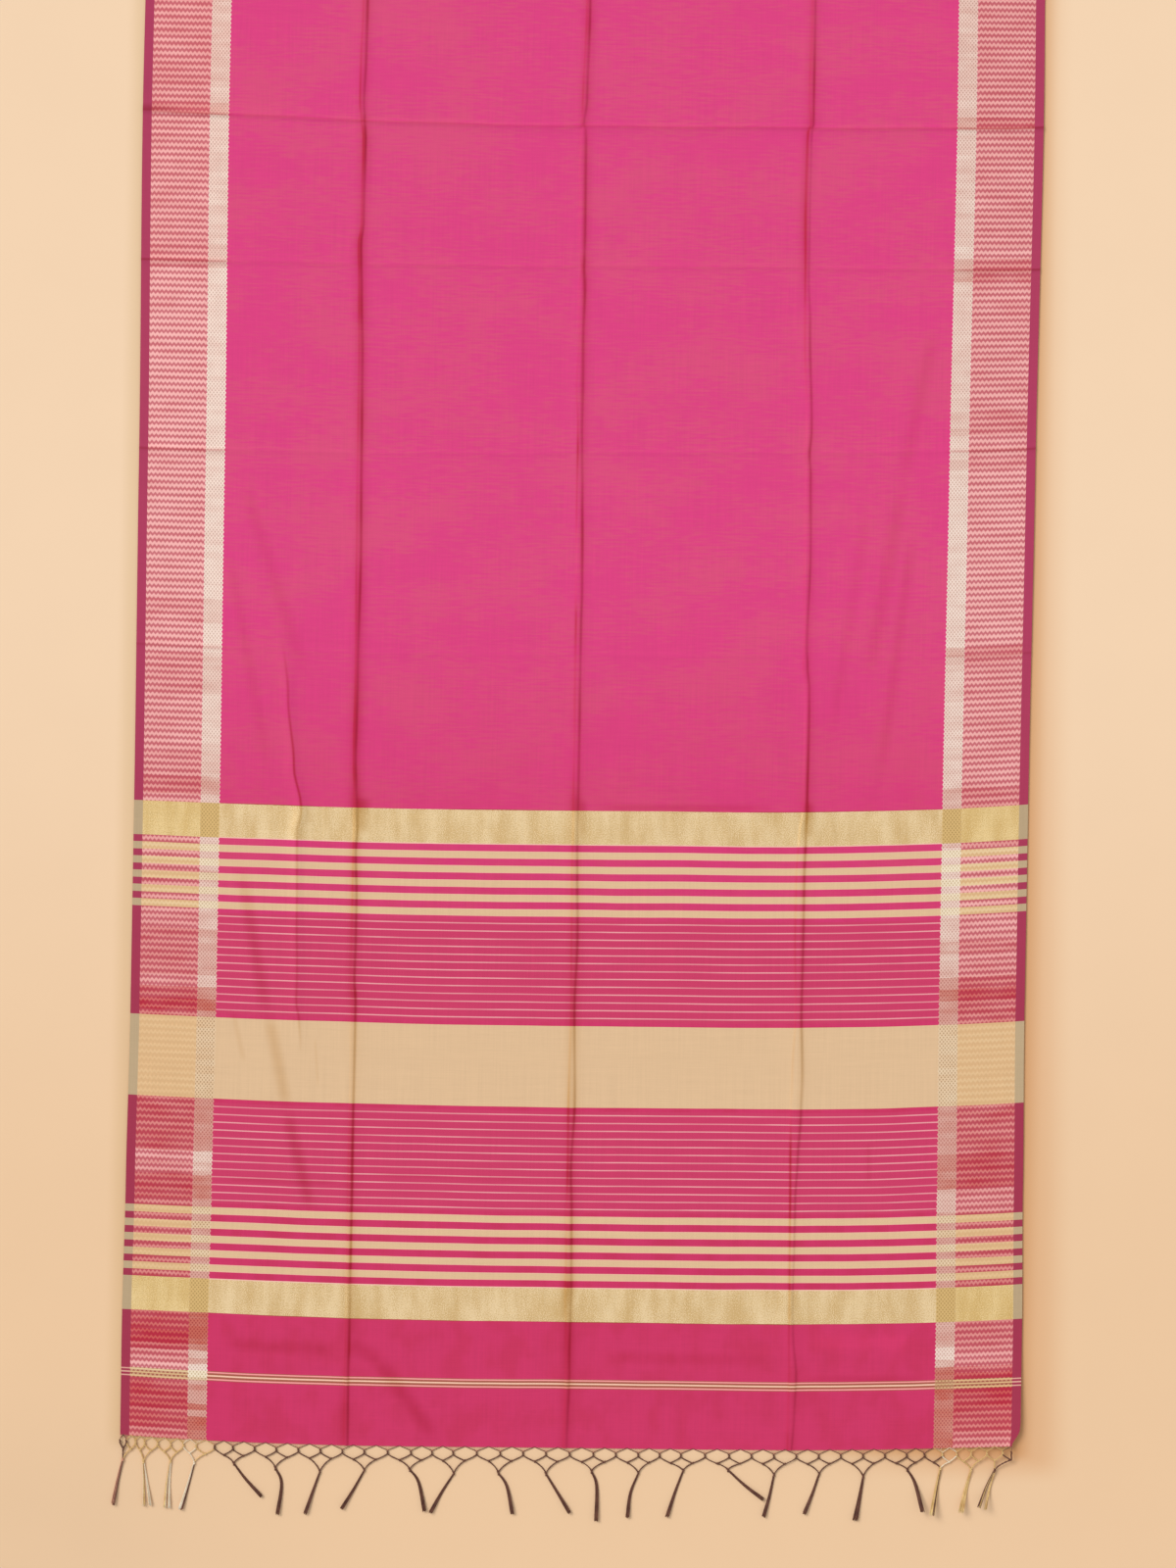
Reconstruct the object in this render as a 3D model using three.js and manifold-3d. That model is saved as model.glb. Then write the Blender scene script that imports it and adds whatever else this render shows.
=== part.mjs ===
// A saree, woven in one length and laid face up on a flat surface. The pallu with its knotted
// fringe lies nearest, the plain body behind it, and the rest of the length is folded in layers
// on the far end. Millimetres: X across the cloth, Y along it away from the fringe, Z up.

import * as THREE from 'three';
import Module from 'manifold-3d';

// ---- The cloth's own sizes ----

const CLOTH_WIDTH = 1150;
const CLOTH_LENGTH = 5500;
const HALF_WIDTH = CLOTH_WIDTH / 2;
const WALL = 1.2;
const SEAM_GAP = 0.3;
const HEM_STRIP = 4; // the strip of hem that the fringe is knotted into
const PALLU_LENGTH = 818.3;
const LAID_LENGTH = 1930; // from the hem to the near edge of the folded rest

// ---- The folded rest ----

const FOLDED_LAYERS = 8;
const FOLD_DEPTH = (CLOTH_LENGTH - LAID_LENGTH) / (FOLDED_LAYERS + 1);
const FAR_EDGE = LAID_LENGTH + FOLD_DEPTH;
const LAYER_WALL = 1.5;
const LAYER_PITCH = 1.9;
const CORE_INSET = 12; // how deep the layers stand apart along the edges
const TURN_SEGMENTS = 6; // facets around the half circle where the cloth turns back

// ---- How the laid cloth lies ----

// One row for each distance from the hem: how far mid cloth sags towards the hem, how far the
// right edge climbs, how much each half is wider than HALF_WIDTH, and how high the left and right
// edges stand off the floor.
const LIE_COLUMNS = ['fromHem', 'sag', 'climb', 'spread', 'leftRise', 'rightRise'];
const LIE_ROWS = [
  [0, 10.6, 3.5, 2.5, 2.0, 4.0],
  [140, 11.0, 4.0, 2.5, 0.5, 6.0],
  [330, 11.6, 4.7, 0.5, 2.5, 4.5],
  [545, 12.0, 5.4, -1.5, 1.0, 7.0],
  [818, 11.5, 7.3, -1.5, 1.5, 5.5],
  [1250, 6.5, 5.2, 0.0, 1.0, 7.5],
  [1700, 2.5, 3.1, 3.0, 1.5, 6.0],
  [1900, 0.0, 0.0, 2.0, 0.0, 0.0],
  [FAR_EDGE, 0.0, 0.0, 2.0, 0.0, 0.0],
];
const EDGE_REACH = 130; // the edges rise over this width
const FRINGE_FALL = 30; // the fringe comes down to the floor over this length

// Sharp creases from storage, folded in four along the cloth. Each stands up as a low ridge.
const CREASE_HEIGHT = 2.6;
const CREASE_REACH = 8;
const CREASE_END = 1890; // pressed flat under the folded rest from here
const LONG_CREASES = [
  { atHem: -285, atFar: -292 },
  { atHem: -2, atFar: -8 },
  { atHem: 279, atFar: 281 },
];

// Fainter creases that run across the whole cloth.
const CROSS_CREASE_REACH = 9;
const CROSS_CREASES = [
  { fromHem: 1276, height: 0.8 },
  { fromHem: 1515, height: 1.5 },
  { fromHem: 1701, height: 2.0 },
];

// A soft pleat beside the left crease: where its ridge lies across, from its lower end up.
const PLEAT_HEIGHT = 3.0;
const PLEAT_REACH = 16;
const PLEAT = [
  { fromHem: 540, across: -361 },
  { fromHem: 800, across: -356 },
  { fromHem: 1040, across: -388 },
];

// ---- The fringe ----

const STRAND_RADIUS = 0.65; // of a three-sided strand, to its corners
const STRAND_SIDES = 3;
const STRAND_HEIGHT = 0.8; // of a strand's middle that lies on the floor
const STRAND_RISE = 1.4; // of the upper strand where two lie on each other
const STRAND_APART = 0.85; // of a strand's middle from the middle of a knot of the net
const FIRST_KNOT_DOWN = 8.5;
const SECOND_KNOT_DOWN = 17.5;
const TASSEL_APART = [0.8, 1.0, 1.3]; // half spacing of the strands at the knot, bend and tip

// Tassels from the left edge to the right one: where the net knot over each lies across the
// cloth, then how far beside that and how far below the hem its own knot, bend and tip lie.
const TASSEL_COLUMNS = [
  'across', 'knotSide', 'knotDown', 'bendSide', 'bendDown', 'tipSide', 'tipDown',
];
const TASSEL_ROWS = [
  [-566.9, -4.3, 31.6, -10.1, 58.3, -15.5, 90.0],
  [-543.7, -1.0, 32.6, 2.0, 59.2, 5.0, 87.6],
  [-510.4, 0.2, 29.8, -2.4, 57.8, -3.1, 88.7],
  [-477.7, -2.3, 29.7, -9.9, 59.3, -18.6, 89.6],
  [-430.8, 1.5, 27.7, 17.2, 47.5, 37.6, 68.1],
  [-375.3, -0.7, 31.5, 7.5, 50.8, 3.0, 90.4],
  [-318.8, -0.3, 35.3, -8.9, 60.8, -18.0, 88.5],
  [-262.7, 0.4, 31.7, -12.3, 55.4, -27.5, 80.6],
  [-203.0, -1.2, 29.6, 10.4, 45.7, 18.7, 82.3],
  [-149.0, 1.1, 34.6, -13.9, 58.8, -27.6, 84.0],
  [-88.8, -2.0, 33.0, 9.1, 49.7, 16.9, 84.6],
  [-30.4, 0.5, 33.3, 15.9, 57.5, 31.6, 82.4],
  [30.3, -2.0, 29.4, 5.0, 48.2, 5.1, 92.2],
  [87.7, 0.5, 31.4, -9.2, 57.3, -12.6, 87.4],
  [142.3, 3.2, 27.4, -7.1, 56.4, -16.5, 85.9],
  [203.9, -1.3, 25.5, 20.4, 45.1, 44.6, 62.8],
  [262.9, 0.5, 32.1, -4.4, 57.8, -11.8, 84.7],
  [320.6, 1.1, 30.5, -6.9, 55.6, -17.2, 81.1],
  [378.0, 0.6, 34.9, -3.7, 62.6, -8.9, 89.5],
  [434.0, 0.9, 26.2, 11.3, 43.5, 20.8, 78.6],
  [480.4, -2.8, 25.7, -6.9, 54.0, -10.2, 84.2],
  [518.6, 0.8, 30.4, -4.9, 56.1, -10.5, 82.2],
  [555.7, -8.3, 32.5, -15.6, 55.4, -22.7, 79.2],
];

// ---- Helpers ----

const { clamp, lerp, smoothstep } = THREE.MathUtils;

const named = (columns, rows) =>
  rows.map((row) => Object.fromEntries(columns.map((name, i) => [name, row[i]])));

const LIE = named(LIE_COLUMNS, LIE_ROWS);
const TASSELS = named(TASSEL_COLUMNS, TASSEL_ROWS);

// The value of one column of a table at a distance from the hem, eased from row to row.
function along(table, column, fromHem) {
  const next = table.findIndex((row) => row.fromHem > fromHem);
  if (next === 0) return table[0][column];
  if (next < 0) return table[table.length - 1][column];
  const [from, to] = [table[next - 1], table[next]];
  return lerp(from[column], to[column], smoothstep(fromHem, from.fromHem, to.fromHem));
}

const tent = (distance, reach) => Math.max(0, 1 - Math.abs(distance) / reach);

const creaseAcross = (crease, fromHem) => lerp(crease.atHem, crease.atFar, fromHem / LAID_LENGTH);

// How far the underside stands off the floor.
function lift(across, fromHem) {
  const flattened = 1 - smoothstep(fromHem, CREASE_END - CREASE_REACH * 4, CREASE_END);
  let ridge = 0;
  for (const crease of LONG_CREASES) {
    ridge += CREASE_HEIGHT * tent(across - creaseAcross(crease, fromHem), CREASE_REACH);
  }
  for (const crease of CROSS_CREASES) {
    ridge = Math.max(ridge, crease.height * tent(fromHem - crease.fromHem, CROSS_CREASE_REACH));
  }
  const [lower, upper] = [PLEAT[0], PLEAT[PLEAT.length - 1]];
  const middle = (lower.fromHem + upper.fromHem) / 2;
  const pleatHeight = PLEAT_HEIGHT * tent(fromHem - middle, (upper.fromHem - lower.fromHem) / 2);
  ridge += pleatHeight * tent(across - along(PLEAT, 'across', fromHem), PLEAT_REACH);

  const rise = along(LIE, across < 0 ? 'leftRise' : 'rightRise', fromHem);
  const intoEdge = clamp((Math.abs(across) - HALF_WIDTH + EDGE_REACH) / EDGE_REACH, 0, 1);
  const height = ridge * flattened + rise * intoEdge ** 2;
  return height * clamp(1 + fromHem / FRINGE_FALL, 0, 1);
}

// A point of the cloth in space: its distance from the middle and from the hem, and its height
// above the underside.
function place(across, fromHem, height) {
  const share = across / HALF_WIDTH;
  const x = across + share * along(LIE, 'spread', fromHem);
  const y = fromHem - along(LIE, 'sag', fromHem) * (1 - share ** 2)
    + along(LIE, 'climb', fromHem) * share;
  return [x, y, lift(across, fromHem) + height];
}

function closedGeometry(points, faces) {
  const geometry = new THREE.BufferGeometry();
  geometry.setAttribute('position', new THREE.Float32BufferAttribute(points.flat(), 3));
  geometry.setIndex(faces.flat());
  geometry.computeVertexNormals();
  return geometry;
}

// ---- Cloth walls ----

const CREASE_COLUMNS = [-18, -CREASE_REACH, 0, CREASE_REACH, 18]; // to each side of its ridge
const PLEAT_COLUMNS = [-PLEAT_REACH, 0, PLEAT_REACH];
const FLAT_COLUMNS = [-445, -190, -95, 95, 190, 372, 445];
const EDGE_COLUMNS = [0, 30, 65]; // in from each edge, over the width that rises

// Where the wall has its points across, at a distance from the hem.
function columnsAt(fromHem) {
  const creased = LONG_CREASES.flatMap((crease) =>
    CREASE_COLUMNS.map((offset) => creaseAcross(crease, fromHem) + offset));
  const pleated = PLEAT_COLUMNS.map((offset) => along(PLEAT, 'across', fromHem) + offset);
  const edges = EDGE_COLUMNS.flatMap((inset) => [inset - HALF_WIDTH, HALF_WIDTH - inset]);
  return [...creased, ...pleated, ...FLAT_COLUMNS, ...edges].sort((a, b) => a - b);
}

// A closed wall of cloth over rows at the given distances from the hem.
function clothWall(rows) {
  const columns = columnsAt(0).length;
  const points = [];
  for (const height of [0, WALL]) {
    for (const fromHem of rows) {
      for (const across of columnsAt(fromHem)) points.push(place(across, fromHem, height));
    }
  }
  const at = (layer, row, column) => (layer * rows.length + row) * columns + column;
  const faces = [];
  const quad = (a, b, c, d) => faces.push([a, b, c], [a, c, d]);
  const [lastRow, lastColumn] = [rows.length - 1, columns - 1];
  for (let r = 0; r < lastRow; r++) {
    for (let c = 0; c < lastColumn; c++) {
      quad(at(1, r, c), at(1, r, c + 1), at(1, r + 1, c + 1), at(1, r + 1, c));
      quad(at(0, r, c), at(0, r + 1, c), at(0, r + 1, c + 1), at(0, r, c + 1));
    }
    quad(at(0, r, 0), at(1, r, 0), at(1, r + 1, 0), at(0, r + 1, 0));
    quad(at(0, r, lastColumn), at(0, r + 1, lastColumn), at(1, r + 1, lastColumn), at(1, r, lastColumn));
  }
  for (let c = 0; c < lastColumn; c++) {
    quad(at(0, 0, c), at(0, 0, c + 1), at(1, 0, c + 1), at(1, 0, c));
    quad(at(0, lastRow, c), at(1, lastRow, c), at(1, lastRow, c + 1), at(0, lastRow, c + 1));
  }
  return closedGeometry(points, faces);
}

// Rows from one distance to another, no wider apart than the pitch, and three on each cross crease.
function rowsBetween(start, end, pitch) {
  const count = Math.ceil((end - start) / pitch);
  const plain = Array.from({ length: count + 1 }, (_, i) => lerp(start, end, i / count));
  const creased = CROSS_CREASES.flatMap(({ fromHem }) =>
    [fromHem - CROSS_CREASE_REACH, fromHem, fromHem + CROSS_CREASE_REACH]);
  const clear = (row) => creased.every((other) => Math.abs(other - row) > CROSS_CREASE_REACH);
  const inside = creased.filter((row) => row > start && row < end);
  return [...plain.filter(clear), ...inside].sort((a, b) => a - b);
}

// ---- Manifold joins ----

const manifold = await Module();
manifold.setup();

function toManifold(geometry) {
  const bare = new THREE.BufferGeometry();
  bare.setAttribute('position', geometry.getAttribute('position'));
  if (geometry.index) bare.setIndex(geometry.index);
  const mesh = new manifold.Mesh({
    numProp: 3,
    vertProperties: new Float32Array(bare.getAttribute('position').array),
    triVerts: new Uint32Array(bare.index.array),
  });
  mesh.merge();
  return new manifold.Manifold(mesh);
}

function joined(geometries) {
  const solid = geometries.map(toManifold).reduce((sum, next) => sum.add(next));
  const { vertProperties, triVerts } = solid.getMesh();
  const geometry = new THREE.BufferGeometry();
  geometry.setAttribute('position', new THREE.BufferAttribute(vertProperties, 3));
  geometry.setIndex(new THREE.BufferAttribute(triVerts, 1));
  geometry.computeVertexNormals();
  return geometry;
}

// ---- Folded rest: layers over a core, with a rounded turn wherever the cloth doubles back ----

const NEAR_TURNS = [0, 6, -3, 4]; // how far past the near edge each turn lies, from the bottom up
const FAR_TURNS = [0, -5, 3, -4, -9]; // the same at the far edge; the last is the free end
const LAYER_SHIFTS = [1, -2, 3, 2, -3, -1, 2, -2]; // of each layer across

function slab(across, width, near, far, bottom, top) {
  const geometry = new THREE.BoxGeometry(width, far - near, top - bottom);
  return geometry.translate(across, (near + far) / 2, (bottom + top) / 2);
}

// Half a disc drawn out across the cloth, round towards the far (1) or the near (-1) side.
function turn(across, width, edge, middle, radius, side) {
  const half = new THREE.Shape();
  half.absarc(0, 0, radius, -Math.PI / 2, Math.PI / 2, false);
  half.closePath();
  const geometry = new THREE.ExtrudeGeometry(half, {
    depth: width, bevelEnabled: false, curveSegments: TURN_SEGMENTS,
  });
  geometry.translate(0, 0, -width / 2);
  geometry.applyMatrix4(new THREE.Matrix4().makeBasis(
    new THREE.Vector3(0, side, 0), new THREE.Vector3(0, 0, 1), new THREE.Vector3(side, 0, 0)));
  return withIndex(geometry.translate(across, edge, middle));
}

function withIndex(geometry) {
  const count = geometry.getAttribute('position').count;
  geometry.setIndex(Array.from({ length: count }, (_, i) => i));
  return geometry;
}

function foldedRest() {
  const floorLevel = WALL + SEAM_GAP;
  const bottomOf = (layer) => floorLevel + (layer - 1) * LAYER_PITCH;
  const topOf = (layer) => bottomOf(layer) + LAYER_WALL;
  const nearOf = (layer) => LAID_LENGTH - NEAR_TURNS[Math.ceil(layer / 2) - 1];
  const farOf = (layer) => FAR_EDGE + SEAM_GAP + FAR_TURNS[Math.floor(layer / 2)];
  const pieces = [
    slab(0, CLOTH_WIDTH - CORE_INSET * 2, LAID_LENGTH + CORE_INSET, FAR_EDGE - CORE_INSET,
      bottomOf(1), topOf(FOLDED_LAYERS)),
  ];
  for (let layer = 1; layer <= FOLDED_LAYERS; layer++) {
    const shift = LAYER_SHIFTS[layer - 1];
    pieces.push(slab(shift, CLOTH_WIDTH, nearOf(layer), farOf(layer), bottomOf(layer), topOf(layer)));
  }
  const turnBetween = (lower, edge, side) => {
    const bottom = lower === 0 ? 0 : bottomOf(lower);
    const radius = (topOf(lower + 1) - bottom) / 2;
    const shift = LAYER_SHIFTS[Math.max(lower - 1, 0)];
    pieces.push(turn(shift, CLOTH_WIDTH, edge, bottom + radius, radius, side));
  };
  for (let lower = 1; lower < FOLDED_LAYERS; lower += 2) turnBetween(lower, nearOf(lower), -1);
  for (let lower = 0; lower < FOLDED_LAYERS - 1; lower += 2) turnBetween(lower, farOf(lower), 1);
  return joined(pieces);
}

// ---- Fringe ----

// A closed three-sided strand through stops in plan, each with its height and outward corners.
function strand(stops) {
  const centres = stops.map(({ across, down, height }) =>
    new THREE.Vector3(...place(across, -down, height)));
  const points = [];
  centres.forEach((centre, i) => {
    const before = centres[Math.max(i - 1, 0)];
    const after = centres[Math.min(i + 1, centres.length - 1)];
    const heading = after.clone().sub(before).setZ(0).normalize();
    for (let corner = 0; corner < STRAND_SIDES; corner++) {
      const angle = Math.PI / 2 + (corner * 2 * Math.PI) / STRAND_SIDES;
      const [aside, up] = [Math.cos(angle) * STRAND_RADIUS, Math.sin(angle) * STRAND_RADIUS];
      points.push([centre.x + heading.y * aside, centre.y - heading.x * aside, centre.z + up]);
    }
  });
  const faces = [];
  const last = centres.length - 1;
  for (let i = 0; i < last; i++) {
    for (let corner = 0; corner < STRAND_SIDES; corner++) {
      const next = (corner + 1) % STRAND_SIDES;
      const [a, b] = [i * STRAND_SIDES + corner, i * STRAND_SIDES + next];
      faces.push([a, a + STRAND_SIDES, b + STRAND_SIDES], [a, b + STRAND_SIDES, b]);
    }
  }
  const end = last * STRAND_SIDES;
  faces.push([0, 1, 2], [end, end + 2, end + 1]);
  return closedGeometry(points, faces);
}

// Knots of the net's first row, two for each tassel: one over it and one shared with the next.
function firstRow() {
  const knots = [-HALF_WIDTH];
  TASSELS.forEach(({ across }, i) => {
    const beyond = i + 1 < TASSELS.length ? (across + TASSELS[i + 1].across) / 2 : HALF_WIDTH;
    knots.push(across, beyond);
  });
  return knots;
}

// The four strands of a tassel: two leave the hem on each side of it, part around a mesh of the
// net and meet again at a second-row knot before they join the tassel.
function tasselStrands(tassel, shared, over, sharedNext) {
  const stops = ['knot', 'bend', 'tip'].map((name) => new THREE.Vector2(
    tassel.across + tassel[`${name}Side`], tassel[`${name}Down`]));
  const strands = [];
  for (const [outer, side] of [[shared, -1], [sharedNext, 1]]) {
    const origin = (outer + over) / 2;
    for (const upper of [false, true]) {
      const towards = upper ? -side : side;
      const firstKnot = upper ? over + side * STRAND_APART : outer - side * STRAND_APART;
      const level = STRAND_HEIGHT + (upper ? STRAND_RISE : 0);
      const rootAcross = origin + towards * STRAND_APART;
      const route = [
        { across: rootAcross, down: -HEM_STRIP / 2, height: STRAND_HEIGHT },
        { across: rootAcross + towards, down: 2, height: STRAND_HEIGHT },
        { across: firstKnot, down: FIRST_KNOT_DOWN, height: (STRAND_HEIGHT + level) / 2 },
        { across: origin, down: SECOND_KNOT_DOWN, height: level },
      ];
      stops.forEach((stop, i) => {
        const from = stops[Math.max(i - 1, 0)];
        const to = stops[Math.min(i + 1, stops.length - 1)];
        const heading = to.clone().sub(from).normalize();
        route.push({
          across: stop.x + heading.y * side * TASSEL_APART[i],
          down: stop.y - heading.x * side * TASSEL_APART[i],
          height: level,
        });
      });
      strands.push(strand(route));
    }
  }
  return strands;
}

function fringe() {
  const hemStrip = clothWall([0, HEM_STRIP]);
  const knots = firstRow();
  const strands = TASSELS.flatMap((tassel, i) =>
    tasselStrands(tassel, knots[2 * i], knots[2 * i + 1], knots[2 * i + 2]));
  return joined([hemStrip, ...strands]);
}

// ---- The saree ----

const PALLU_ROW_PITCH = 55;
const BODY_ROW_PITCH = 62;

const saree = new THREE.Group();
function addPiece(name, geometry, color, roughness, metalness) {
  const material = new THREE.MeshStandardMaterial({ color, roughness, metalness });
  const mesh = new THREE.Mesh(geometry, material);
  mesh.name = name;
  saree.add(mesh);
}

const palluStart = HEM_STRIP + SEAM_GAP;
const bodyStart = PALLU_LENGTH + SEAM_GAP;
addPiece('pallu', clothWall(rowsBetween(palluStart, PALLU_LENGTH, PALLU_ROW_PITCH)),
  '#d29a80', 0.7, 0.1);
addPiece('body', clothWall(rowsBetween(bodyStart, FAR_EDGE, BODY_ROW_PITCH)), '#d9457f', 0.75, 0);
addPiece('folded_rest', foldedRest(), '#cf3f78', 0.75, 0);
addPiece('fringe', fringe(), '#5c3a35', 0.6, 0);

// Seated with the middle of its footprint on the origin.
const box = new THREE.Box3().setFromObject(saree);
const middle = box.getCenter(new THREE.Vector3());
for (const mesh of saree.children) mesh.geometry.translate(-middle.x, -middle.y, -box.min.z);

export default saree;
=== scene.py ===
# A saree laid out flat: the pallu end with its knotted fringe, the plain body behind it, and the
# rest of the length folded in layers on the far end. Metres, +Z up, the fringe towards -Y.

import math
import random

import bpy
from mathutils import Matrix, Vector, noise


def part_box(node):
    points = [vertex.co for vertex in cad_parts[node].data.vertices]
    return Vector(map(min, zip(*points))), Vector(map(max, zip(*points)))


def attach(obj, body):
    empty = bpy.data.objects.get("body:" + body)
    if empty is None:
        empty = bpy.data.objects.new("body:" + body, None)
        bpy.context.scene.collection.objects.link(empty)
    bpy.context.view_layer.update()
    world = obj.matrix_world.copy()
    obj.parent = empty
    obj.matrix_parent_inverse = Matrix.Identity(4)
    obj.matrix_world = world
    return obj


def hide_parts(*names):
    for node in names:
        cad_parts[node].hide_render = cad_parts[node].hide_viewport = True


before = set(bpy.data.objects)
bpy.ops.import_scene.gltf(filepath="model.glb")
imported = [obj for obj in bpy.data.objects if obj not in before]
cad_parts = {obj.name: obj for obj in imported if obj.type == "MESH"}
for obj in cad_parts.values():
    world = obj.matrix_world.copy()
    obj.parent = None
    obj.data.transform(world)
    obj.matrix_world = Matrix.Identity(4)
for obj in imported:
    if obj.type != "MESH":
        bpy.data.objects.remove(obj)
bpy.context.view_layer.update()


# ---- Laid cloth ----
# One woven length of fine cotton and silk, 1.15 m wide. Its decorated end and part of the plain body
# lie face up on the floor. It was stored folded in four lengthwise, so three pressed folds stand up
# along it as narrow ridges, and the stiff zari borders lie in small ripples.

MM = 0.001
CLOTH_WIDTH = 1150 * MM
CLOTH_LENGTH = 5500 * MM
HALF_WIDTH = CLOTH_WIDTH / 2
LAID_LENGTH = 1930 * MM  # from the hem to the near edge of the folded rest
FOLDED_LAYERS = 8
FOLD_DEPTH = (CLOTH_LENGTH - LAID_LENGTH) / (FOLDED_LAYERS + 1)
FAR_EDGE = LAID_LENGTH + FOLD_DEPTH
CLOTH_THICKNESS = 0.45 * MM
CLEARANCE = 0.2 * MM  # between the floor and the underside

body_low, body_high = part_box("body")
MIDDLE_X = (body_low.x + body_high.x) / 2
HEM_Y = body_high.y - FAR_EDGE

# How the cloth lies, in millimetres. A row for each distance from the hem: how far its middle and the
# middle of each half sag towards the hem, how far the right edge climbs, how much each half spreads,
# and how high each edge stands off the floor.
LIE_COLUMNS = (
    "from_hem", "sag", "left_sag", "right_sag", "climb", "spread", "left_rise", "right_rise")
LIE_ROWS = (
    (0, 10.6, 3.0, 2.5, 3.5, 2.0, 1.0, 8.0),
    (140, 11.0, 0.8, 3.4, 4.0, 2.5, 0.5, 2.0),
    (330, 11.6, 0.0, 3.2, 4.7, 0.5, 1.5, 1.2),
    (545, 12.0, 0.0, 3.0, 5.4, -1.5, 1.0, 1.5),
    (818, 11.5, 0.0, 4.0, 7.3, -1.5, 1.0, 1.0),
    (1250, 6.5, 0.0, 2.0, 5.2, 0.0, 1.0, 1.5),
    (1700, 2.5, 0.0, 0.0, 3.1, 3.0, 1.0, 1.2),
    (1900, 0.0, 0.0, 0.0, 0.0, 2.0, 0.0, 0.0),
    (2330, 0.0, 0.0, 0.0, 0.0, 2.0, 0.0, 0.0),
)
EDGE_REACH = 130 * MM  # the edges rise over this width
CURL_REACH = 15 * MM  # the hem's right corner curls inward: the selvedge that does it,
CURL_TO = 34 * MM  # from how far off the hem,
CURL_INWARD = 11 * MM  # and how far the corner moves in
CURL_SHARPNESS = 2.5
FRINGE_FALL = 60 * MM  # the fringe comes down to the floor over this length

# The pressed folds, in millimetres: where each lies across, half the width of its flat top, and how
# deep the painted shade on its left and right flank is.
FOLD_COLUMNS = ("from_hem", "across", "top", "left_painted_shade", "right_painted_shade")
LEFT_FOLD = (
    (0, -286.5, 1.2, 0.3, 0.5),
    (95, -287, 1.2, 0.35, 0.75),
    (123, -286.5, 1.2, 0.5, 1.1),
    (160, -286.5, 1.2, 0.3, 0.8),
    (178, -286.5, 1.2, 0.1, 1.15),
    (206, -287, 1.2, 0.3, 1.3),
    (300, -287.5, 1.4, 0.35, 1.1),
    (430, -288, 1.2, 0.35, 1.05),
    (570, -288, 1.2, 0.45, 1.2),
    (597, -290, 1.2, 0.5, 1.2),
    (650, -289.5, 1.6, 0.45, 0.8),
    (707, -289.5, 1.5, 0.75, 0.75),
    (762, -290.5, 0.6, 0.7, 0.75),
    (790, -289.5, 1.0, 0.9, 1.1),
    (818, -290, 0.9, 0.75, 0.9),
    (843, -291, 0.3, 0.85, 0.85),
    (880, -292.5, 0.3, 0.85, 0.85),
    (1000, -291.5, 0.4, 0.8, 0.8),
    (1140, -291, 1.5, 0.7, 0.85),
    (1250, -292, 1.4, 0.55, 0.9),
    (1390, -292.5, 1.0, 0.85, 0.95),
    (1470, -294, 0.6, 0.9, 0.9),
    (1535, -295.5, 0.3, 0.9, 0.9),
    (1560, -292.5, 0.3, 0.9, 0.9),
    (1675, -291.5, 0.3, 0.8, 0.8),
    (1690, -293.5, 0.8, 0.5, 0.6),
    (1715, -295.5, 1.4, 0.9, 0.3),
    (1772, -294.5, 2.1, 0.7, 0.6),
    (1830, -293.5, 1.5, 0.5, 0.7),
)
MIDDLE_FOLD = (
    (10, -6, 0.8, 0.3, 0.1),
    (40, -5.5, 0.9, 0.3, 0.35),
    (66, -5, 1.3, 0.15, 0.5),
    (95, -4.5, 1.2, 0.3, 0.95),
    (123, -5, 1.2, 0.4, 1.0),
    (165, -5, 1.6, 0.7, 0.8),
    (182, -5.5, 2.3, 0.9, 1.0),
    (206, -5.5, 2.5, 1.1, 1.2),
    (233, -5.5, 2.2, 0.8, 0.9),
    (300, -6, 2.0, 0.3, 0.95),
    (360, -7, 1.0, 1.1, 0.75),
    (440, -5.5, 2.8, 0.95, 0.85),
    (570, -6, 0.9, 0.5, 0.9),
    (650, -5.5, 2.7, 0.55, 0.75),
    (760, -7, 2.1, 0.45, 0.5),
    (790, -7, 1.5, 0.9, 0.4),
    (840, -7, 2.1, 0.6, 0.4),
    (900, -7, 2.1, 0.4, 0.7),
    (1005, -7.5, 2.2, 0.5, 0.35),
    (1060, -7.5, 2.1, 0.75, 0.4),
    (1090, -7.5, 2.7, 0.25, 0.4),
    (1140, -8, 2.7, 0.1, 0.75),
    (1222, -9, 2.4, 0.55, 0.55),
    (1277, -9.5, 1.6, 1.0, 0.3),
    (1305, -10, 1.5, 0.6, 0.4),
    (1360, -11, 2.8, 0.3, 0.5),
    (1420, -10.5, 1.5, 0.3, 0.65),
    (1480, -10.5, 2.7, 0.15, 0.7),
    (1508, -10, 0.5, 0.4, 0.9),
    (1540, -11.5, 2.5, 0.15, 0.65),
    (1678, -12, 2.1, 0.15, 0.5),
    (1693, -13, 0.3, 0.4, 0.4),
    (1720, -11, 1.5, 0.6, 0.35),
    (1832, -8.5, 0.9, 0.55, 0.7),
)
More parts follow.
